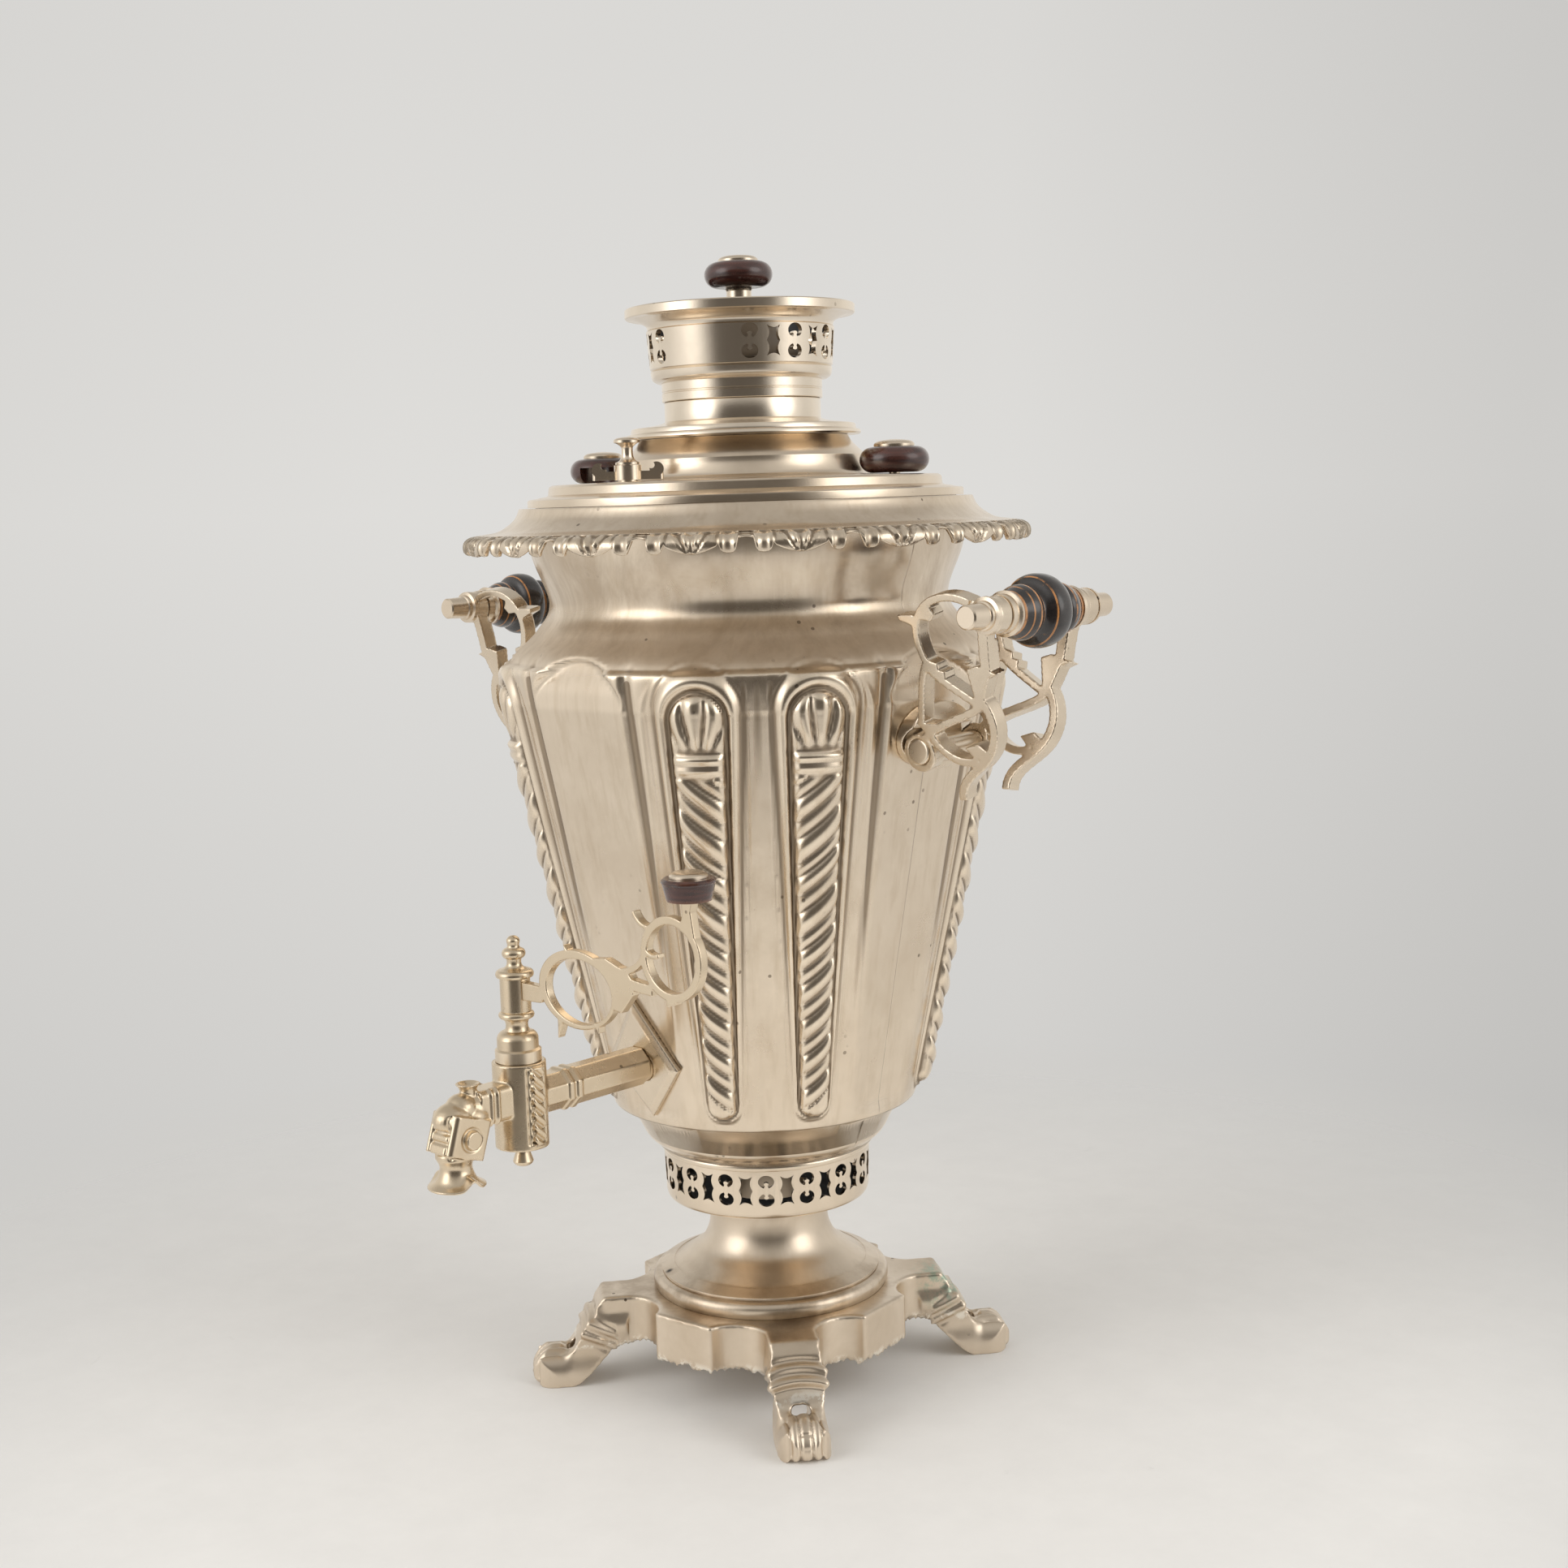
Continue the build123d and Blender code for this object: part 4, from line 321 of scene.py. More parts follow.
nickel_tone = (0.80, 0.69, 0.555)
nickel_brown = (0.56, 0.455, 0.335)
nickel = metal("nickel", nickel_tone, nickel_brown, 0.26, clouds=0.4, edge=0.0, hollow=0.0)
spun_nickel = metal("spun_nickel", nickel_tone, nickel_brown, 0.24, clouds=0.45, edge=0.35, hollow=0.5)
embossed_nickel = metal("embossed_nickel", nickel_tone, nickel_brown, 0.25, clouds=0.4, edge=0.5,
                        hollow=0.75, dark=(0.20, 0.145, 0.095), stains_and_shade=neck_stains, embossed=True,
                        dull=((0.332, 0.0), (0.341, 0.30), (0.348, 0.26), (0.357, 0.0)))
bright_nickel = metal("bright_nickel", (0.84, 0.745, 0.62), (0.60, 0.50, 0.385), 0.22, clouds=0.35,
                      specks=0.3, edge=0.4, hollow=0.5)
base_metal = metal("base_metal", (0.72, 0.62, 0.50), (0.46, 0.36, 0.25), 0.32, clouds=0.6, specks=0.8,
                   edge=0.6, hollow=0.9, bump=0.5, stains_and_shade=base_stains_and_shade)
brass = metal("brass", (0.74, 0.62, 0.46), (0.46, 0.34, 0.20), 0.28, clouds=0.5, specks=0.6, edge=0.7,
              hollow=0.9, bump=0.35)
iron = plain_finish("iron", (60.0, 5.0), ((0.3, 0.03), (0.7, 0.12)), 0.8, 0.4)
rubber = plain_finish("rubber", (200.0, 4.0), ((0.3, 0.015), (0.7, 0.05)), 0.7)
dull_nickel = plain_finish("dull_nickel", (40.0, 5.0, 0.6), ((0.35, 0.0), (0.65, 1.0)), 0.55, 0.3,
                           ((0.80, 0.73, 0.63), (0.66, 0.57, 0.46)))
smoked_nickel = metal("smoked_nickel", (0.20, 0.155, 0.11), (0.09, 0.065, 0.045), 0.45, clouds=0.8,
                      edge=0.0, hollow=0.0)


def lacquer(name, body, glow, worn_wood, edge, scratch=0.4, ridges=()):
    """Turned wood under old glossy lacquer, rubbed through on its ridges. Ridges across the length
    of a grip are given as (place, width) in metres from its middle."""
    material, shader, place = start_material(name)
    drawn_out = stretched(place, 6.0)
    figure = fade(noise(drawn_out, 60.0, 5.0, 0.6, 1.2), 0.35, 0.7)
    colour = blend(figure, body, glow)
    edge_wear_and_shade = use_group(wear_and_shade, Place=place, Edge=edge, Hollow=0.0)
    colour = blend(edge_wear_and_shade["Edge"], colour, worn_wood)
    if ridges:
        along = math("ABSOLUTE", coordinate(place, "Y"))
        patchy = fade(noise(place, 150.0, 4.0, 0.6), 0.36, 0.52)
        for middle, width in ridges:
            ring = math("COMPARE", along, middle, third=width)
            colour = blend(times(ring, patchy), colour, worn_wood)
    flecks = fade(noise(place, 420.0, 4.0, 0.7), 0.66, 0.74)
    colour = blend(times(flecks, scratch), colour, worn_wood)
    plug(shader.inputs["Base Color"], colour)
    rough = ramp(noise(place, 120.0, 4.0, 0.65), (0.35, 0.16), (0.8, 0.50))
    plug(shader.inputs["Roughness"], rough)
    plug(shader.inputs["Coat Weight"], 0.6)
    plug(shader.inputs["Coat Roughness"], 0.12)
    add_bumps(shader, place, 0.6, 0.25, 0.3)
    return material


knob_wood = lacquer("knob_wood", (0.030, 0.010, 0.008), (0.085, 0.026, 0.018), (0.30, 0.12, 0.05), 0.5)
grip_wood = lacquer("grip_wood", (0.012, 0.010, 0.010), (0.030, 0.022, 0.020), (0.50, 0.22, 0.07),
                    0.9, 0.25, ridges=((0.0048, 0.0003), (0.0086, 0.0004), (0.0118, 0.0005),
                                       (0.0152, 0.0003), (0.0188, 0.0006)))

finish_of_slot = {
    "nickel": nickel, "worn_brass": brass, "lacquered_wood": knob_wood, "black_wood": grip_wood,
    "sooty_iron": iron, "rubber": rubber,
}
slot_of_node = {part["node"]: part["material_slot"] for part in record["subparts"]}


def wear_finish(piece, material):
    piece.data.materials.clear()
    piece.data.materials.append(material)


for name, node in nodes.items():
    wear_finish(node, finish_of_slot[slot_of_node[name]])
wear_finish(nodes["damper"], smoked_nickel)


# ---- Floor, world and lights ----
bpy.ops.object.select_all(action="DESELECT")
bpy.ops.mesh.primitive_circle_add(vertices=96, radius=1.6, fill_type="NGON", location=(0, 0, 0))
floor_sheet = bpy.context.object
floor_sheet.name = "floor_sheet"
floor_paint, shader, place = start_material("floor_paint")
speckle = ramp(noise(place, 30.0, 6.0, 0.7), (0.3, 0.88), (0.7, 0.92))
# Painted light: the floor is painted lighter towards the camera and darker away from it.
nearness = math("MULTIPLY_ADD", along_way(place, (0, -1, 0)), 0.5, third=0.5)
painted_light_falloff = ramp(nearness, (0.25, 0.74), (0.50, 0.87), (0.68, 0.96))
tinted = times(speckle, painted_light_falloff)
tinted = blend(1.0, tinted, (1.0, 0.992, 0.975), "MULTIPLY")
scuffs = fade(noise(place, 9.0, 8.0, 0.75, 1.5), 0.66, 0.72)
tinted = blend(times(scuffs, 0.16), tinted, (0.45, 0.44, 0.42))
plug(shader.inputs["Base Color"], tinted)
plug(shader.inputs["Roughness"], 0.75)
# Painted light: the floor glows faintly in reflections only, brightening it in the metal.
mirrored = shader.id_data.nodes.new("ShaderNodeLightPath").outputs["Is Glossy Ray"]
plug(shader.inputs["Emission Color"], (1.0, 0.97, 0.92, 1))
plug(shader.inputs["Emission Strength"], times(mirrored, 0.12))
away = new_node("VectorMath", {"operation": "LENGTH"}, Vector=place).outputs["Value"]
there = ramp(away, (0.30, 1.0), (0.62, 0.0))
plug(shader.inputs["Alpha"], there)
wear_finish(floor_sheet, floor_paint)

world = bpy.data.worlds.new("studio")
bpy.context.scene.world = world
world.use_nodes = True
tree = world.node_tree
tree.nodes.clear()
look = tree.nodes.new("ShaderNodeTexCoord").outputs["Generated"]


def facing(way):
    """How far a ray looks a way."""
    return along_way(look, way)


half_rise = math("MULTIPLY_ADD", coordinate(look, "Z"), 0.5, third=0.5)
left_box = ramp(facing((-0.86, -0.40, 0.30)), (0.58, 0.0), (0.80, 0.42), (0.93, 1.0))
right_box = ramp(facing((0.88, -0.36, 0.30)), (0.62, 0.0), (0.82, 0.40), (0.94, 1.0))
left_core = fade(facing((-0.83, -0.44, 0.32)), 0.925, 0.975)
right_core = fade(facing((0.83, -0.44, 0.32)), 0.925, 0.975)
below = ramp(half_rise, (0.46, 1.0), (0.51, 0.0))
behind = fade(facing((0, 1, 0.1)), 0.10, 0.60)
low_wall = ramp(half_rise, (0.44, 0.0), (0.49, 1.0), (0.66, 1.0), (0.84, 0.0))
low_part = ramp(half_rise, (0.255, 0.0), (0.31, 1.0), (0.66, 1.0), (0.75, 0.0))
near_camera = fade(facing((0, -1, 0)), 0.64, 0.86)
# What the metal mirrors, each layer over the one before it.
room = (0.54, 0.525, 0.50)
for share, light in (
    (below, (0.74, 0.72, 0.69)),
    (times(behind, low_wall), (0.88, 0.86, 0.82)),
    (left_box, (1.06, 1.04, 1.01)),
    (right_box, (0.94, 0.92, 0.89)),
    (times(low_part, near_camera), (0.110, 0.098, 0.086)),
    (left_core, (2.5, 2.45, 2.4)),
    (right_core, (2.3, 2.26, 2.2)),
):
    room = blend(share, room, light)
# What the camera sees behind the object.
wall_tone = ramp(half_rise, (0.33, 0.62), (0.43, 0.685), (0.50, 0.735), (0.60, 0.705))
rightward = math("MULTIPLY_ADD", facing((1, 0, 0)), 0.5, third=0.5)
wall_fall = ramp(rightward, (0.33, 0.95), (0.42, 1.0), (0.56, 0.99), (0.67, 0.84))
wall_tone = times(wall_tone, wall_fall)
wall = blend(1.0, wall_tone, (1.0, 0.985, 0.955), "MULTIPLY")
ray = tree.nodes.new("ShaderNodeLightPath").outputs
sky = blend(ray["Is Camera Ray"], room, wall)
glow = new_node("Background", Color=sky, Strength=1.0)
plug(tree.nodes.new("ShaderNodeOutputWorld").inputs[0], glow.outputs[0])


lit_middle = Vector((0, 0, 0.25))


def soft_light(name, place, power):
    """A soft rectangular light that looks at the middle of the object."""
    data = bpy.data.lights.new(name, "AREA")
    data.shape = "RECTANGLE"
    data.size, data.size_y = 1.2, 1.4
    data.energy = power
    data.color = (1, 0.98, 0.95)
    lamp = add_object(name, data)
    spot = around @ Vector(place)
    aim = (spot - lit_middle).to_track_quat("Z", "Y")
    lamp.matrix_world = Matrix.Translation(spot) @ aim.to_matrix().to_4x4()
    lamp.visible_glossy = False


soft_light("light_left", (-1.5, -0.7, 1.3), 11)
soft_light("light_right", (1.5, -0.7, 1.3), 9)


# ---- Mesh tools ----
def smooth_path(points, steps=8):
    """A rounded path through points (Catmull-Rom)."""
    path = []
    ends = [points[0]] + list(points) + [points[-1]]
    for before, start, end, after in zip(ends, ends[1:], ends[2:], ends[3:]):
        for step in range(steps):
            t = step / steps
            path.append(tuple(
                0.5 * (2 * b + (c - a) * t + (2 * a - 5 * b + 4 * c - d) * t**2
                       + (3 * b - a - 3 * c + d) * t**3)
                for a, b, c, d in zip(before, start, end, after)
            ))
    return path + [tuple(points[-1])]


def rise_between(low, high, value):
    """Smooth step from 0 at low to 1 at high."""
    share = min(1.0, max(0.0, (value - low) / (high - low)))
    return share * share * (3 - 2 * share)


def mix(low, high, share):
    return low + (high - low) * share


def lifted(height, *spots):
    """Spots of an outline, given as (radius, rise) over a height."""
    return [(radius, height + rise) for radius, rise in spots]


def set_smooth(mesh, smooth):
    mesh.polygons.foreach_set("use_smooth", [smooth] * len(mesh.polygons))


def new_object(name, points, faces):
    """A smooth-shaded object from points in millimetres."""
    mesh = bpy.data.meshes.new(name)
    mesh.from_pydata([(x / 1000, y / 1000, z / 1000) for x, y, z in points], [], faces)
    set_smooth(mesh, True)
    mesh.update()
    return add_object(name, mesh)


relief_gain = 0.55      # for each millimetre that a point stands proud


def add_relief(piece, points, rows, embossed, even, reach=3, shade=None):
    """Stores how far each point stands proud of the points round it, where 0.5 is level. Embossed
    gives a strength for each row, even holds the columns whose neighbours are evenly spaced, reach
    is how many columns away a neighbour lies, and shade makes some hollows darker."""
    radii = [hypot(x, y) for x, y, _ in points]
    values = [0.5] * len(points)
    for column in even:
        for row, strength in embossed.items():
            here = column * rows + row
            round_it = sum(radii[here + across * rows + up * reach]
                           for across in (-reach, 0, reach) for up in (-1, 0, 1) if across or up) / 8
            level = 0.5 + (radii[here] - round_it) * relief_gain * strength
            if shade:
                level -= shade(column, row)
            values[here] = min(1.0, max(0.0, level))
    piece.data.attributes.new("relief", "FLOAT", "POINT").data.foreach_set("value", values)


def sheet_faces(columns, rows, wrap_columns, wrap_rows):
    """Faces of a grid of points numbered column by column, each column rows long."""
    faces = []
    for column in range(columns if wrap_columns else columns - 1):
        beside = (column + 1) % columns
        for row in range(rows if wrap_rows else rows - 1):
            over = (row + 1) % rows
            left, right = column * rows, beside * rows
            faces.append((left + row, right + row, right + over, left + over))
    return faces


# ---- Tank ----
# Millimetres and degrees from here on. The line runs up the outside from the foot to the mouth.
tank_wall_line = (
    [(50.0, 110.6), (50.0, 111.4)]
    + smooth_path([(50.4, 111.6), (55.2, 116.1), (57.4, 123.6)], 7)
    + smooth_path([(57.5, 124.2), (63.4, 131.0), (71.3, 137.6), (90.4, 229.7), (109.5, 321.8),
                   (107.1, 335.5), (95.4, 347.6), (89.3, 359.8), (96.3, 380.6), (99.0, 399.8)], 12)
)


cone_foot = 131.3
shoulder_z = 317.8      # where a flat panel's straight sides end and its arched top begins
panel_half = 28.0
flat_share = 0.96815    # how near to the axis a flat panel lies, as a share of the cone's radius
arch_low, arch_high = (144.1, 8.2), (319.3, 18.8)       # (height, half width) of an arch's ends
rope_low, rope_high = (144.5, 6.2), (314.5, 11.6)


def cone_radius(z):
    return 70 + (z - cone_foot) * 0.20735


def from_panel(angle):
    """Degrees from the middle of the nearest flat panel."""
    return (angle + 45) % 90 - 45


def wall_radius(z):
    """The tank's plain turned form at a height."""
    if 137.6 < z < 317:
        return cone_radius(z)
    for (low_radius, low), (high_radius, high) in zip(tank_wall_line, tank_wall_line[1:]):
        if low <= z <= high and high > low:
            return mix(low_radius, high_radius, (z - low) / (high - low))
    return tank_wall_line[-1][0]


def slot_distance(across, z, foot, top):
    """Distance to the outline of a tapered slot with round ends, negative inside."""
    (low, low_radius), (high, high_radius) = foot, top
    height = high - low
    lean = (low_radius - high_radius) / height
    upright_share = sqrt(1 - lean * lean)
    across, z = abs(across), z - low
    along = -lean * across + upright_share * z
    if along < 0:
        return hypot(across, z) - low_radius
    if along > upright_share * height:
        return hypot(across, z - height) - high_radius
    return across * upright_share + z * lean - low_radius


def line(value, place, width):
    """A soft ridge one high at a place."""
    gap = (value - place) / width
    return exp(-gap * gap)


rib_tips = [143.5, 159.5, 175.0, 191.5, 207.0, 222.0, 240.0, 254.0, 272.0, 288.0]
rib_share = 0.58        # a broad rib's share of the way from tip to tip, before a narrow one


def rope_height(inward, z, edge, half):
    """The rope in its arch: a fan of petals, a cross band, slanted ribs and a plain foot."""
    depth = min(1.0, -edge / half)
    body = 4.6 * sqrt(max(0.0, 1 - (1 - depth) ** 2.4))
    place = inward / half
    if z > 301:
        spread = mix(0.45, 1.0, rise_between(300, 322, z))
        petal = place / spread
        wave = abs(cos(pi * 1.25 * petal + 0.35))
        body = body * 0.85 + 2.6 * (wave**0.6 - 0.60) * rise_between(301, 309, z) * min(1, depth * 3)
    elif z > 291:
        body += 1.5 * (line(z, 298.6, 1.6) + line(z, 294.2, 2.2)) * min(1, depth * 4)
    else:
        share = (1 - place) / 2
        drop = half * (1.45 * share + 0.30 * share**4)
        tip = z - drop + 1.5
        ribs = 1.3
        for low, high in zip(rib_tips, rib_tips[1:]):
            if low <= tip < high:
                turn = (tip - low) / (high - low)
                if turn < rib_share:
                    ribs = 2.1 * max(0.0, sin(pi * min(1.0, turn / rib_share))) ** 0.7
                else:
                    ribs = max(0.0, sin(pi * (turn - rib_share) / 0.42)) ** 0.8
                break
        inner = rise_between(-0.6, 0.9, place)
        body = body * (0.80 + 0.12 * inner) + ribs * rise_between(0.0, 0.22, depth)
    return min(6.8, body)


def tank_radius(angle, z):
    """The embossed tank's radius at an angle (degrees) and a height."""
    quarter = from_panel(angle)
    radius = wall_radius(z)
    if z < 131 or z > 346:
        return radius
    # The raised arches with their ropes, about the diagonal.
    corner = abs((angle % 90) - 45)
    across = radius * sin(radians(corner))
    inward = 18.8 + (z - cone_foot) * 0.0294 - across
    arch = slot_distance(inward, z, arch_low, arch_high)
    rope = slot_distance(inward, z, rope_low, rope_high)
    half = mix(rope_low[1], rope_high[1], min(1, max(0, (z - rope_low[0]) / 170)))
    gap = max(0.6, rope - arch)
    raised = 0.0
    if arch < 0:
        frame_height = 0.9 + 1.9 * rise_between(1.5, 6.5, gap)
        if rope > 0:
            share = rope / gap
            outer = 1 - rise_between(0.45, 1.0, share)
            inner = rise_between(0.0, 0.30, share)
            raised = frame_height * outer * (0.25 + 0.75 * inner) + 0.35 * line(share, 0.40, 0.10)
        else:
            raised = rope_height(inward, z, rope, half) * rise_between(0, 0.9, -rope)
            raised = frame_height * 0.25 + raised
    top = rise_between(150, 210, z) * (1 - rise_between(322, 334, z))
    raised += 0.45 * line(arch, 0.4, 0.55) * rise_between(136, 150, z)
    raised += 0.35 * line(rope, 11.8, 0.8) * top * (1 if inward < 0 else 0)
    if corner < 14:
        grooves = 0.30 * (line(across, 3.6, 0.7) + line(across, 6.6, 0.7))
        raised += grooves * top * (1 if arch > 1.5 else 0)
        bulge = 0.8 * line(across, 0, 4.5)
        raised += bulge * rise_between(180, 320, z) * (1 - rise_between(326, 344, z))
    radius += raised
    # The dark hollow down each edge of a flat panel.
    edge_gap = (14.5 + 1.5 - abs(quarter)) * radians(1) * radius
    hollow = 1.7 * line(edge_gap, 0, 2.6)
    radius -= hollow * rise_between(190, 322, z) * (1 - rise_between(328, 342, z))
    # The flat panel with its arched top.
    if abs(quarter) < 24:
        beside = abs(radius * sin(radians(quarter)))
        flat = flat_share * cone_radius(min(z, shoulder_z)) - 4.2 * rise_between(323, 341, z)
        flat = flat / cos(radians(quarter))
        if z > shoulder_z:
            arch_edge = (hypot(beside / panel_half, (z - shoulder_z) / 21.0) - 1) * 22
        else:
            arch_edge = beside - panel_half
        cut = 1 - rise_between(-0.9, 0.5, arch_edge)
        plane_gap = radius - flat
        if plane_gap < 0.7:
            plane_gap = max(0.0, plane_gap + 0.7) ** 2 / 2.8
        radius -= cut * plane_gap * rise_between(131, 140, z)
    return radius


def tank_shade(angle, z):
    """Extra darkness in the hollows beside the flat panels and in the fan between two arches."""
    radius = wall_radius(z)
    beside = (abs(from_panel(angle)) - 16.6) * radians(1) * radius
    shade = 0.50 * line(beside, 0, 1.9) * rise_between(170, 250, z) * (1 - rise_between(326, 342, z))
    across = abs(radius * sin(radians((angle % 90) - 45)))
    fan = rise_between(272, 322, z) * (1 - rise_between(328, 339, z))
    return shade + fan * (0.42 * line(across, 0, 1.5) + 0.36 * line(across, 5.4, 1.3))


def tank_rows():
    """Heights of the tank's outside: fine over the ropes, coarse over the plain parts."""
    rows = [z for _, z in tank_wall_line if z < 130]
    z = 131.0
    while z < 344:
        rows.append(z)
        z += 1.05 if z < 338 else 1.6
    return rows + [346 + 1.5 * step for step in range(36)] + [399.8]


def tank_columns():
    """Angles from one panel's middle to the next."""
    edge = [0.0, 0.3, 1.2, 3.0, 5.0, 7.0, 9.0, 10.5, 11.5, 12.3, 13.0]
    fine = [13.5 + 0.425 * step for step in range(149) if 13.5 + 0.425 * step < 76.6]
    return edge + fine + [90 - angle for angle in reversed(edge)]


def inner_radius(angle, z, wall):
    """The inside of the wall, which follows the flat panels but not the embossing."""
    radius = wall_radius(z)
    if z < 345:
        radius = min(radius, flat_share * radius / cos(radians(from_panel(angle))))
    return radius - wall


def tank_half(name, start):
    """Half of the tank's shell, closed along its wall at both ends."""
    angles = []
    for quarter in range(2):
        angles += [start + 90 * quarter + angle for angle in tank_columns()[:-1]]
    angles.append(start + 180)
    rows = tank_rows()
    inner = [(399.8, 1.4), (380.0, 1.8), (368.0, 2.0), (360.0, 2.2), (356.0, 2.6), (352.0, 3.0),
             (348.0, 3.2), (344.0, 3.2), (340.0, 3.4), (334.0, 3.4), (325.0, 3.4), (260.0, 3.2),
             (200.0, 3.2), (145.0, 3.2)]
    points = []
    for angle in angles:
        turn_cos, turn_sin = cos(radians(angle)), sin(radians(angle))
        column = [(tank_radius(angle, z), z) for z in rows]
        column += [(inner_radius(angle, z, wall), z) for z, wall in inner]
        column += [(56.0, 117.2), (41.6, 116.6), (41.6, 115.4), (48.8, 115.4), (48.8, 110.6)]
        points += [(radius * turn_cos, radius * turn_sin, z) for radius, z in column]
    count = len(column)
    faces = sheet_faces(len(angles), count, False, True)
    faces.append(tuple(range(count)))
    faces.append(tuple(reversed(range(len(points) - count, len(points)))))
    piece = new_object(name, points, faces)
    add_relief(piece, points, count,
               {spot: 1 - rise_between(331, 337, z) for spot, z in enumerate(rows) if 136 < z < 352},
               [spot for spot, angle in enumerate(angles) if 14.9 < angle % 90 < 75.1],
               shade=lambda column, row: tank_shade(angles[column], rows[row]))
    return piece


tank_shells = [tank_half("tank_shell_front", 180), tank_half("tank_shell_back", 0)]
for shell in tank_shells:
    wear_finish(shell, embossed_nickel)
    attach(shell, "stand")
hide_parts("tank")
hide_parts("tank")

# ---- Collar with its leaf fringe ----
fan_count = 18
fan_pitch = 20.0
fringe_start = -56.2
fan_length = 44.2       # round the rim
fringe_drop = 8.9
face_steps = 14
steps_per_fan = 44


def fringe_foot(along):
    """Height of the fringe's lower edge over its lowest tips, at a distance from a fan's tip."""
    if along < 10.3:
        return 3.7 * (along / 10.3) ** 0.9
    if along < 11.6:
        return 4.6
    if along < 18.4:
        side = (along - 15.0) / 3.4
        return 1.1 + 3.2 * (1 - sqrt(max(0.0, 1 - side * side)))
    return 6.6 - 0.9 * ((along - 22.1) / 3.7) ** 2


def fringe_depth(along, down):
    """How deep the gouges are cut, at a distance from a fan's tip and a share of the way down."""
    if along < 11.2:
        spread = max(0.10, 1 - 0.88 * down**1.3)
        place = along / spread
        if place < 3.7:
            return 2.4 * (1 - (place / 3.7) ** 2)
        if place < 10.4:
            return 2.4 * (1 - ((place - 7.05) / 3.35) ** 2)
        return 0.5 + 0.5 * min(1, place - 10.4)
    if along < 18.6:
        side = abs(along - 15.0) / 2.9
        return 1.5 * (1 - side * side) if side < 1 else min(1.6, (side - 1) * 5)
    return 1.6 + 0.5 * sin(down * 14)


fringe_face = smooth_path([(119.5, 390.6), (123.3, 389.9), (125.8, 388.0), (126.45, 385.4),
                           (125.9, 382.8), (125.3, 381.85)], 5)
collar_top = [(94.0, 399.9), (94.0, 401.8), (100.7, 401.8)] + smooth_path(
    [(101.0, 401.5), (103.5, 396.8), (110.0, 392.3), (116.5, 391.0), (119.4, 390.65)], 6)
points = []
columns = fan_count * steps_per_fan
for column in range(columns):
    angle = radians(fringe_start + fan_pitch * column / steps_per_fan)
    along = abs(((column / steps_per_fan + 0.5) % 1) - 0.5) * fan_length
    reach = 1 - (fringe_foot(along) / fringe_drop) * 0.86
    face = []
    for step in range(face_steps + 1):
        down = step / face_steps
        place = down * reach * (len(fringe_face) - 1)
        low = min(int(place), len(fringe_face) - 2)
        radius, z = (mix(a, b, place - low) for a, b in zip(fringe_face[low], fringe_face[low + 1]))
        cut = fringe_depth(along, down) * rise_between(0.0, 0.16, down)
        radius -= cut
        z -= cut * 0.25 * (1 - down)
        face.append((radius, z))
    back = [(face[-1][0] - 1.4, face[-1][1] + 0.3), (face[-4][0] - 2.6, face[-4][1]),
            (face[-9][0] - 3.4, face[-9][1] - 0.8), (119.0, 389.2), (109.6, 390.8), (102.0, 396.4),
            (99.4, 399.9)]
    path = collar_top + face + back
    points += [(radius * cos(angle), radius * sin(angle), z) for radius, z in path]
collar_sheet = new_object("collar_sheet", points, sheet_faces(columns, len(path), True, True))
add_relief(collar_sheet, points, len(path), dict.fromkeys(range(13, len(path) - 10), 1.25),
           range(2, columns - 2), 2)
wear_finish(collar_sheet, embossed_nickel)
collar_sheet.data.materials.append(dull_nickel)
# The plain underside is dull.
for spot, polygon in enumerate(collar_sheet.data.polygons):
    if spot % len(path) >= len(path) - 6:
        polygon.material_index = 1
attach(collar_sheet, "stand")
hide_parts("collar")


# ---- Turned pieces ----
def deselect_all():
    if bpy.context.object and bpy.context.object.mode != "OBJECT":
        bpy.ops.object.mode_set(mode="OBJECT")
    bpy.ops.object.select_all(action="DESELECT")


def make_active(piece):
    deselect_all()
    piece.select_set(True)
    bpy.context.view_layer.objects.active = piece


def close_seams(threshold):
    """Merges doubles, turns the faces outwards and leaves edit mode."""
    bpy.ops.mesh.select_all(action="SELECT")
    bpy.ops.mesh.remove_doubles(threshold=threshold)
    bpy.ops.mesh.normals_make_consistent(inside=False)
    bpy.ops.object.mode_set(mode="OBJECT")


smooth_below = radians(32)


def turned(name, profile, material, steps=160):
    """A closed outline of (radius, height), spun round the axis."""
    mesh = bpy.data.meshes.new(name)
    mesh.from_pydata([(radius / 1000, 0, z / 1000) for radius, z in profile],
                     [(spot, (spot + 1) % len(profile)) for spot in range(len(profile))], [])
    piece = add_object(name, mesh)
    make_active(piece)
    bpy.ops.object.mode_set(mode="EDIT")
    bpy.ops.mesh.select_all(action="SELECT")
    bpy.ops.mesh.spin(steps=steps, angle=2 * pi, center=(0, 0, 0), axis=(0, 0, 1))
    close_seams(0.000002)
    bpy.ops.object.shade_smooth_by_angle(angle=smooth_below)
    wear_finish(piece, material)
    return piece


def punch(outlines, angles, reach, z, depth):
    """Prisms that lie along a radius and cut a wall: outlines of (across, up), a set at each angle."""
    points, faces = [], []
    for angle in angles:
        turn_cos, turn_sin = cos(radians(angle)), sin(radians(angle))
        for outline in outlines:
            first, count = len(points), len(outline)
            for distance in (reach - depth, reach):
                for side, up in outline:
                    points.append((distance * turn_cos - side * turn_sin,
                                   distance * turn_sin + side * turn_cos, z + up))
            near, far = range(first, first + count), range(first + count, first + 2 * count)
            faces += [tuple(reversed(near)), tuple(far)]
            for spot in range(count):
                beside = (spot + 1) % count
                faces.append((near[spot], near[beside], far[beside], far[spot]))
    tool = new_object("punch", points, faces)
    set_smooth(tool.data, False)
    return tool


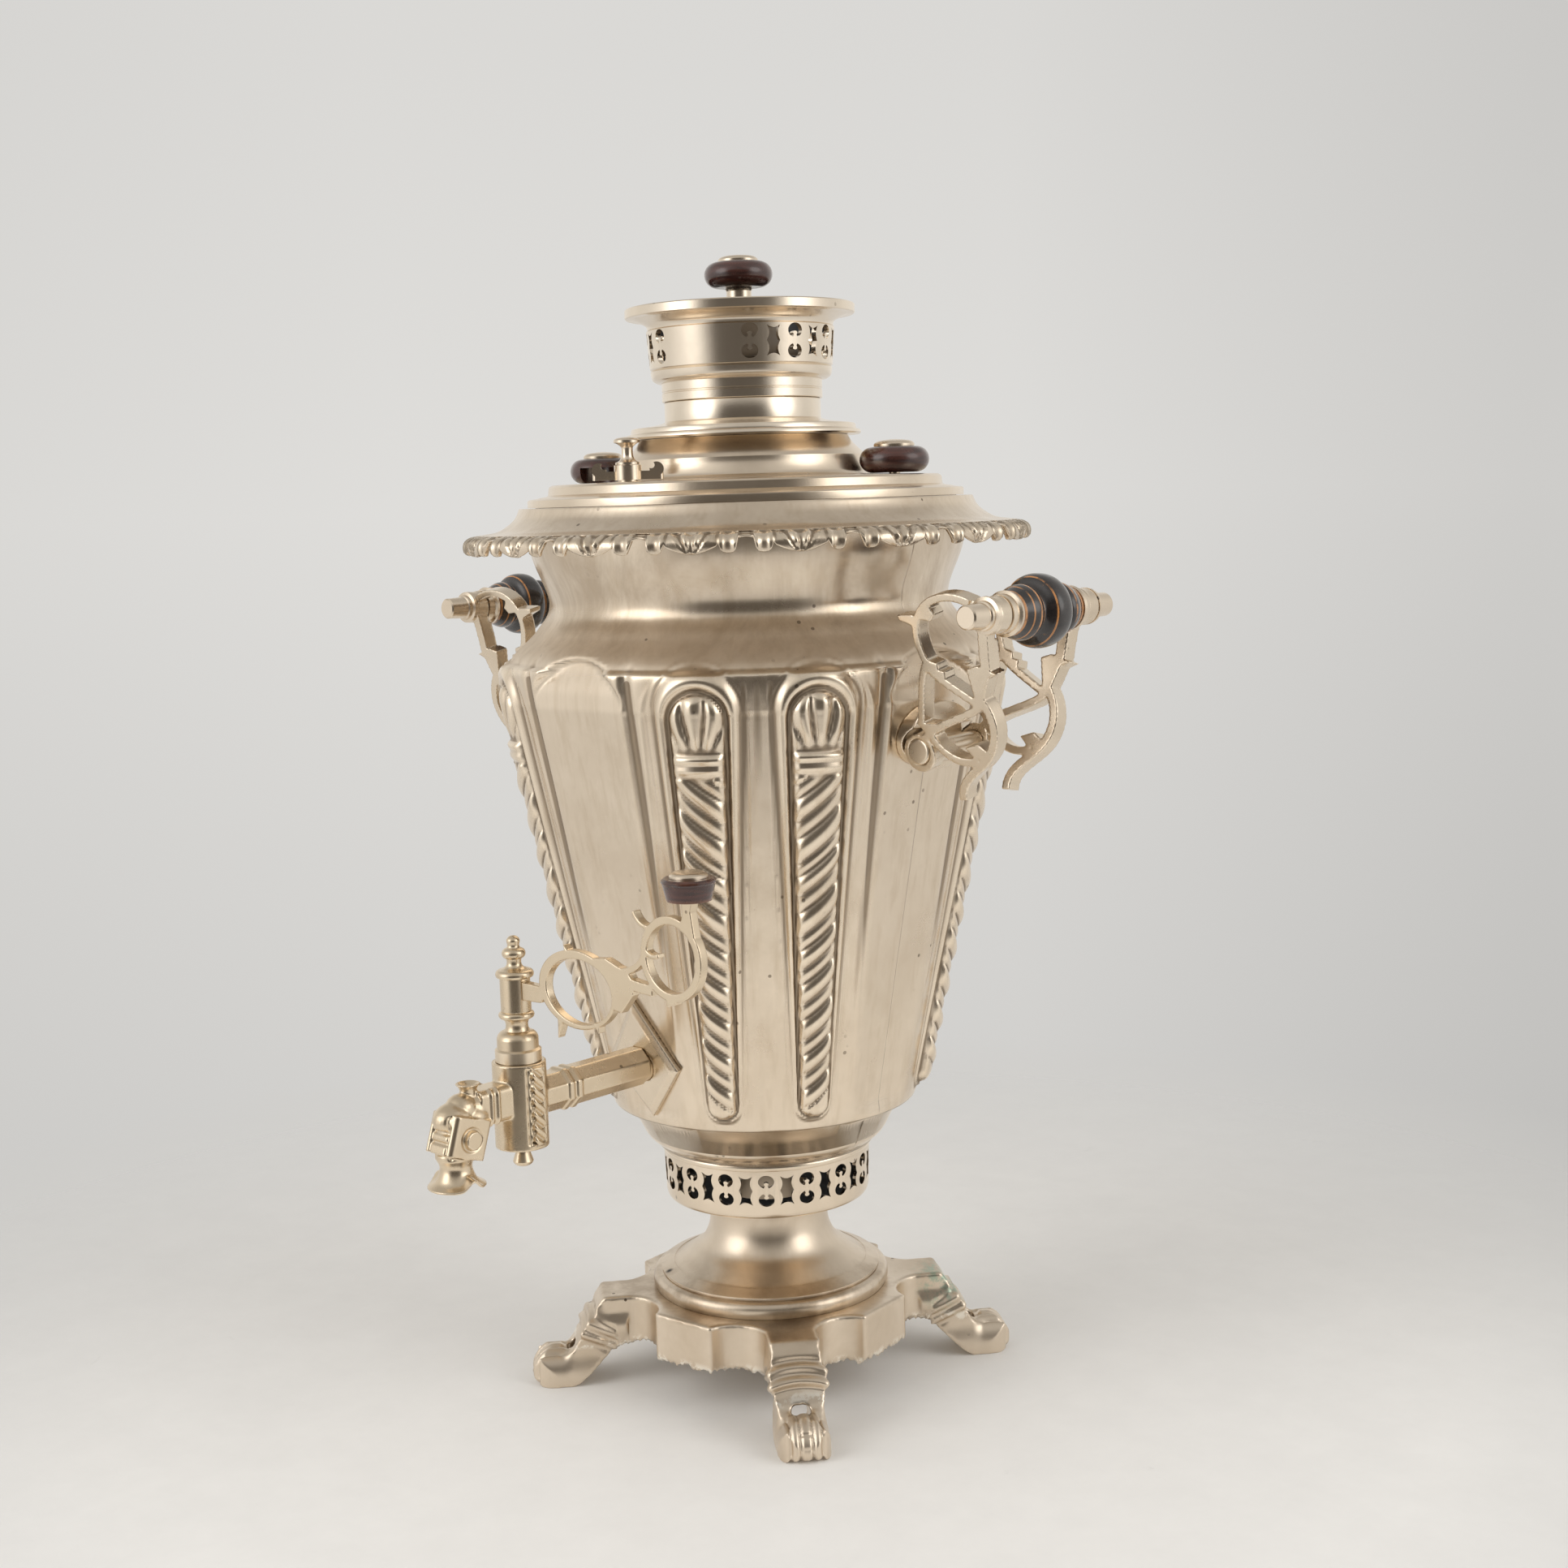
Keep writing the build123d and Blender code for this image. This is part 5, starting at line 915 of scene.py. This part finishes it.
def cut_with(piece, tools):
    for tool in tools:
        modifier = piece.modifiers.new("cut", "BOOLEAN")
        modifier.operation = "DIFFERENCE"
        modifier.solver = "EXACT"
        modifier.object = tool
        make_active(piece)
        bpy.ops.object.modifier_apply(modifier=modifier.name)
        bpy.data.objects.remove(tool, do_unlink=True)
    make_active(piece)
    bpy.ops.object.shade_smooth_by_angle(angle=smooth_below)


def eight_outlines(scale):
    """The two holes of a figure eight, each with a round-ended tab standing in it."""
    outlines = []
    for side in (-1, 1):
        turns = [radians(18 + 13.5 * step) for step in range(25)]
        outline = [(3.3 * sin(turn), 3.9 - 2.8 * cos(turn)) for turn in turns]
        outline += [(-0.6, 2.1), (-1.0, 2.7), (-0.85, 3.3), (0.0, 3.6), (0.85, 3.3), (1.0, 2.7),
                    (0.6, 2.1)]
        if side < 0:
            outline.reverse()
        outlines.append([(across * scale, side * up * scale) for across, up in outline])
    return outlines


def spool_outlines(scale):
    """An upright hole with four horns and a point half way up each side."""
    half, height = 2.9, 6.2
    shares = [step / 6 for step in range(7)]
    outline = [(half * (2 * share - 1), -height + 1.1 * sin(pi * share)) for share in shares]
    outline += [(half - sin(pi * share), -height + height * (side + share))
                for side in (0, 1) for share in shares[1:]]
    outline += [(half * (1 - 2 * share), height - 1.1 * sin(pi * share)) for share in shares[1:]]
    outline += [(-half + sin(pi * share), height - height * (side + share))
                for side in (0, 1) for share in shares[1:]]
    return [[(across * scale, up * scale) for across, up in outline[:-1]]]


foot = 41.5
pedestal_spun = turned("pedestal_spun", (
    lifted(foot, (51.7, 0), (53.5, 0))
    + smooth_path(lifted(foot, (53.9, 0.1), (54.6, 2.0), (54.6, 4.6), (53.6, 6.5), (52.1, 7.2)), 5)
    + lifted(foot, (50.4, 7.5), (50.2, 7.7), (50.2, 8.1), (50.7, 8.3), (50.7, 8.7))
    + smooth_path(lifted(foot, (50.3, 8.9), (47.0, 10.2), (44.9, 11.1)), 4)
    + smooth_path(lifted(foot, (44.6, 10.9), (42.7, 11.8), (37.3, 15.5), (31.6, 20), (28.2, 26.5),
                         (27.2, 33), (27.6, 38.5)) + [(28.8, 84.8)], 7)
    + [(23.2, 84.8), (23.2, 83.2)]
    + lifted(foot, (25.6, 36), (25.6, 30), (29.8, 19), (36.2, 13.6), (42.1, 10), (47.3, 7.6),
             (48.3, 5.5), (51.7, 4))
), base_metal)

low, top = 84.8, 110.4
gallery_cup = turned("gallery_cup", (
    lifted(low, (21.2, 0), (43.0, 0))
    + smooth_path(lifted(low, (43.9, 0.03), (46.1, 0.9), (46.9, 3.0)), 4)
    + [(47.6, top - 3.0), (47.8, top - 2.8)]
    + smooth_path([(48.2, top - 2.6), (48.6, top - 1.3), (48.2, top)], 3)
    + [(45.5, top)] + lifted(low, (45.5, 3.4), (44.9, 1.9), (43.1, 1.4), (21.2, 1.4))
), spun_nickel, 192)
motif_z = low + (top - low) * 0.535
cut_with(gallery_cup, [
    punch(eight_outlines(1.08), [-47 + 22.5 * turn for turn in range(16)], 50, motif_z, 10),
    punch(spool_outlines(1.08), [-35.75 + 22.5 * turn for turn in range(16)], 50, motif_z, 10),
])

skirt = 430.2
skirt_spun = turned("skirt_spun", (
    lifted(skirt, (33.7, 1.2), (44.5, 1.2), (45.0, 0), (51.7, 0), (52.3, 0.7), (52.2, 1.4),
           (51.8, 2.0), (50.4, 2.3), (50.1, 2.6), (49.9, 4.2), (49.5, 4.7))
    + smooth_path(lifted(skirt, (48.3, 5.0), (43.5, 5.5), (39.6, 6.1), (36.4, 6.8), (34.7, 7.6)), 4)
    + lifted(skirt, (34.7, 15.6), (34.5, 16), (33.7, 16))
), bright_nickel)

crown_low, bowl_low = 446.4, 454.6
flange_z = bowl_low + 28.0
crown_bowl = turned("crown_bowl", (
    lifted(crown_low, (32.1, 0), (35.3, 0), (35.6, 0.3), (35.6, 3.6), (35.3, 3.9), (35.3, 4.3),
           (35.6, 4.6))
    + [(35.6, bowl_low)]
    + smooth_path(lifted(bowl_low, (37.6, 0.2), (39.2, 1.2), (39.9, 2.6), (40.3, 5)), 5)
    + lifted(bowl_low, (39.8, 5.5), (40.5, 6.2), (41.6, 22.5), (41.0, 23.1))
    + smooth_path(lifted(bowl_low, (41.0, 23.2), (41.6, 25.0))
                  + [(43.6, flange_z - 1.6), (47.3, flange_z)], 5)
    + lifted(flange_z, (50.3, 0.1), (50.8, 0.5), (50.8, 3.9), (50.3, 4.4), (41.6, 4.4), (40.1, 2.9))
    + lifted(bowl_low, (39.1, 22.5), (38.0, 5), (37.6, 1.5), (33.3, 1.5))
    + [(33.3, 461.8), (32.1, 461.8)]
), bright_nickel, 192)
# Nine holes on each side of the crown, the two kinds by turns.
crown_eights, crown_spools = [
    [-40.5 + half + 14.6 * place for half in (0, 180) for place in range(first, 9, 2)]
    for first in (0, 1)
]
cut_with(crown_bowl, [
    punch(eight_outlines(1.1), crown_eights, 43.8, bowl_low + 15, 9),
    punch(spool_outlines(1.05), crown_spools, 43.8, bowl_low + 15, 9),
])

lid_spun = turned("lid_spun", (
    [(34.0, 430.0)]
    + smooth_path([(46.3, 430.0), (46.6, 429.4), (48.5, 426.6), (52.5, 422.6), (53.8, 421.2)], 5)
    + smooth_path([(54.0, 421.0), (54.4, 418.5), (55.3, 415.8), (56.6, 413.6), (59.0, 412.3)], 5)
    + [(70.0, 411.95), (86.0, 411.5), (86.9, 411.0), (87.4, 410.4), (87.8, 407.2), (88.6, 406.75),
       (92.6, 406.1), (93.0, 405.9), (96.3, 405.5), (96.9, 405.1), (97.0, 404.6), (97.0, 402.0),
       (93.6, 402.0), (93.6, 393.0), (92.4, 393.0), (92.4, 404.8), (86.3, 405.6), (85.3, 410.2),
       (58.4, 411.1)]
    + smooth_path([(55.6, 412.3), (54.1, 414.9), (52.8, 420.4)], 3)
    + smooth_path([(51.3, 421.5), (47.3, 425.5), (45.3, 428.8)], 3)
    + [(34.0, 428.8)]
), spun_nickel, 224)
lid_holes = []
for angle, reach, radius in ((20, 71, 2.45), (200, 71, 2.45), (-90, 71, 4.25)):
    deselect_all()
    bpy.ops.mesh.primitive_cylinder_add(
        vertices=32, radius=radius / 1000, depth=0.03,
        location=(reach * cos(radians(angle)) / 1000, reach * sin(radians(angle)) / 1000, 0.412))
    lid_holes.append(bpy.context.object)
cut_with(lid_spun, lid_holes)

# Soot on the inside of the walls and on the gallery's floor.
for piece in (gallery_cup, crown_bowl):
    piece.data.materials.append(iron)
    for polygon in piece.data.polygons:
        middle, normal = polygon.center, polygon.normal
        outward = Vector((middle.x, middle.y, 0)).normalized()
        gallery_floor = normal.z > 0.7 and outward.dot(middle) < 0.0445 and middle.z < 0.09
        if normal.dot(outward) < -0.5 or gallery_floor:
            polygon.material_index = 1

for piece, body, node in (
    (pedestal_spun, "stand", "pedestal"), (gallery_cup, "stand", "gallery"),
    (skirt_spun, "crown", "crown_skirt"), (crown_bowl, "crown", "crown"), (lid_spun, "lid", "lid"),
):
    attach(piece, body)
    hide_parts(node)


# ---- Cast pieces ----
def casting(name, node, material, voxel, rounds, extras=(), carve=None):
    """A copy of a piece with its edges and corners softened as in a casting, kept inside its own
    size. The extras are joined on, and carve moves a spot in millimetres, given its normal."""
    source = nodes[node]
    low_corner = [min(v.co[axis] for v in source.data.vertices) for axis in range(3)]
    high_corner = [max(v.co[axis] for v in source.data.vertices) for axis in range(3)]
    piece = add_object(name, source.data.copy())
    piece.data.name = name
    make_active(piece)
    bpy.ops.object.mode_set(mode="EDIT")
    close_seams(0.000005)
    if extras:
        for extra in extras:
            extra.select_set(True)
        bpy.ops.object.join()
    remesh = piece.modifiers.new("remesh", "REMESH")
    remesh.mode = "VOXEL"
    remesh.voxel_size = voxel
    soften = piece.modifiers.new("soften", "SMOOTH")
    soften.factor = 0.5
    soften.iterations = rounds
    bpy.ops.object.modifier_apply(modifier="remesh")
    bpy.ops.object.modifier_apply(modifier="soften")
    normals = [vertex.normal.copy() for vertex in piece.data.vertices]
    for vertex, normal in zip(piece.data.vertices, normals):
        if carve:
            vertex.co = carve(vertex.co * 1000, normal) / 1000
        for axis in range(3):
            vertex.co[axis] = min(high_corner[axis], max(low_corner[axis], vertex.co[axis]))
    set_smooth(piece.data, True)
    wear_finish(piece, material)
    return piece


def lump(place, size):
    """A rounded lump, to be taken up by a casting."""
    deselect_all()
    bpy.ops.mesh.primitive_uv_sphere_add(segments=24, ring_count=14, radius=0.001)
    shape = bpy.context.object
    shape.data.transform(Matrix.Translation(Vector(place) / 1000) @ Matrix.Diagonal((*size, 1)))
    return shape


def rounded(across, up, power):
    """How much a spot is drawn in, to stay inside a rounded outline that reaches 1 each way."""
    return min(1.0, 1 / max(0.01, (abs(across)**power + max(0.0, up)**power) ** (1 / power)))


def drawn_in(value, start, pull):
    """What lies past a start, pulled towards it."""
    return start + (value - start) * pull if value > start else value


first_leg = 50.7        # degrees round from the X axis
paw_start, paw_half = 99, 11.6
ragged_parts = ((0.16, 2.4), (0.5, 1.8), (1.1, 0.7))    # (fineness, height) of the aprons' lower edge


def carve_base(spot, normal):
    """Paws with toes and nails, the rings under each knee, and the ragged lower edge of the aprons."""
    x, y, z = spot
    reach = hypot(x, y)
    turned_by = radians((atan2(y, x) * 180 / pi - first_leg + 45) % 90 - 45)
    along, side = reach * cos(turned_by), reach * sin(turned_by)
    depth = lift = 0.0
    if abs(side) < 14.5 and along > 74:
        paw = rise_between(93, paw_start, along)
        if paw > 0:
            # A ball: drawn in at its upper corners, its front edge and its front corners.
            pull = mix(1, rounded(side / paw_half, (z - 3) / 14.4, 2.1), paw)
            side, z = side * pull, drawn_in(z, 3, pull)
            forth = (along - paw_start) / 14.2
            pull = mix(1, rounded((z - 2) / 16.0 if z > 2 else 0, forth, 2.1), paw)
            along, z = drawn_in(along, paw_start, pull), drawn_in(z, 2, pull)
            forth = (along - paw_start) / 14.2
            pull = mix(1, rounded(side / paw_half, forth, 2.2), paw)
            side, along = side * pull, drawn_in(along, paw_start, pull)
        across = abs(side)
        toe = rise_between(95, 100, along) * rise_between(0.0, 0.5, z) * (1 - rise_between(19, 20.5, z))
        depth += toe * (1.5 * line(across, 2.7, 0.7) + 1.5 * line(across, 6.9, 0.8))
        if along > 103 and across < 2.4:
            depth += 0.5 * (line(z, 12.5, 0.55) + line(z, 6.5, 0.55))
        slant = ((along - 79.2) * 0.55 - (z - 30)) / 1.141 - 0.014 * across * across
        if z > 11 and along < 100:
            depth -= 0.85 * (line(slant, 1.1, 1.3) + line(slant, 7.0, 1.4))
            grooves = line(slant, 4.1, 1.1) + line(slant, 10.2, 1.2) + line(slant, -1.9, 1.1)
            depth += 0.65 * grooves
        leg_turn = atan2(y, x) - turned_by
        leg_cos, leg_sin = cos(leg_turn), sin(leg_turn)
        spot = Vector((along * leg_cos - side * leg_sin, along * leg_sin + side * leg_cos, z))
    elif z < 26 and 46 < reach < 84:
        flat_spot = Vector((x, y, 0))
        ragged = sum(noise_3d(flat_spot * fine) * high for fine, high in ragged_parts)
        lift = ragged * (1 - rise_between(20.6, 25, z))
    return spot - normal * depth + Vector((0, 0, lift))


base_cast = casting("base_cast", "base", base_metal, 0.00095, 3, carve=carve_base)
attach(base_cast, "stand")
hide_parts("base")


barrel_y, spout_y = -145.5, -180.5


def carve_tap(spot, normal):
    """The boss on each side of the block, the corded strips down the barrel, the arm's ribs, the
    block's teeth and the points round the mouth."""
    x, y, z = spot
    depth = lift = 0.0
    if abs(x) > 6.5 and y < -168 and z > 143:
        from_boss = hypot(y + 178.1, z - 152.0)
        depth += 0.7 * line(from_boss, 4.6, 0.55) - (0.35 if from_boss < 3.7 else 0)
    if 143 < z < 175:
        beside = y - barrel_y
        if abs(beside) < 4.2 and abs(x) > 10.8:
            turn = (z + 0.85 * beside * (1 if x > 0 else -1)) / 5.4
            depth += 1.5 * (0.5 + 0.5 * cos(2 * pi * turn)) ** 1.5
        if abs(beside) < 6 and abs(x) > 9:
            depth += 0.5 * line(abs(beside), 4.2, 0.6)
    if -171 < y < -158 and abs(x) > 4.5:
        depth -= 0.9 * (line(y, -162.5, 0.8) + line(y, -165.8, 0.8))
    if y < -184 and 145 < z < 163:
        if abs(x) < 5:
            depth += 1.1 * (line(z, 156.0, 0.9) + line(z, 152.0, 0.9))
        depth += 0.8 * line(abs(x), 5.2, 0.6)
    if z < 139 and hypot(x, y - spout_y) < 14:
        side = abs(abs(atan2(y - spout_y, x) * 180 / pi) - 90)
        lift = 3.6 * line(side, 90, 17) * (1 - rise_between(132.5, 139, z))
    return spot - normal * depth + Vector((0, 0, lift))


block_top = [lump((0, spout_y, 160.0), (7.8, 9.0, 6.8)), lump((0, -176.5, 163.5), (6.6, 6.5, 6.0)),
             lump((0, -170.5, 161.5), (6.8, 7.0, 7.4))]
tap_cast = casting("tap_cast", "tap_body", brass, 0.00045, 2, block_top, carve_tap)
key_cast = casting("key_cast", "key_handle", brass, 0.00032, 2)
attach(tap_cast, "stand")
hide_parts("tap_body")
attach(key_cast, "tap_key")
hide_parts("key_handle")
cast_nickel = metal("cast_nickel", (0.78, 0.675, 0.54), (0.54, 0.43, 0.30), 0.27, hollow=0.8)
for node in ("bracket_front_right", "bracket_back_right", "bracket_front_left", "bracket_back_left",
             "saddle_right", "saddle_left", "tap_plate"):
    cast = casting(node + "_cast", node, cast_nickel, 0.00045, 2)
    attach(cast, "stand")
    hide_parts(node)

bpy.context.scene.view_settings.view_transform = "Standard"
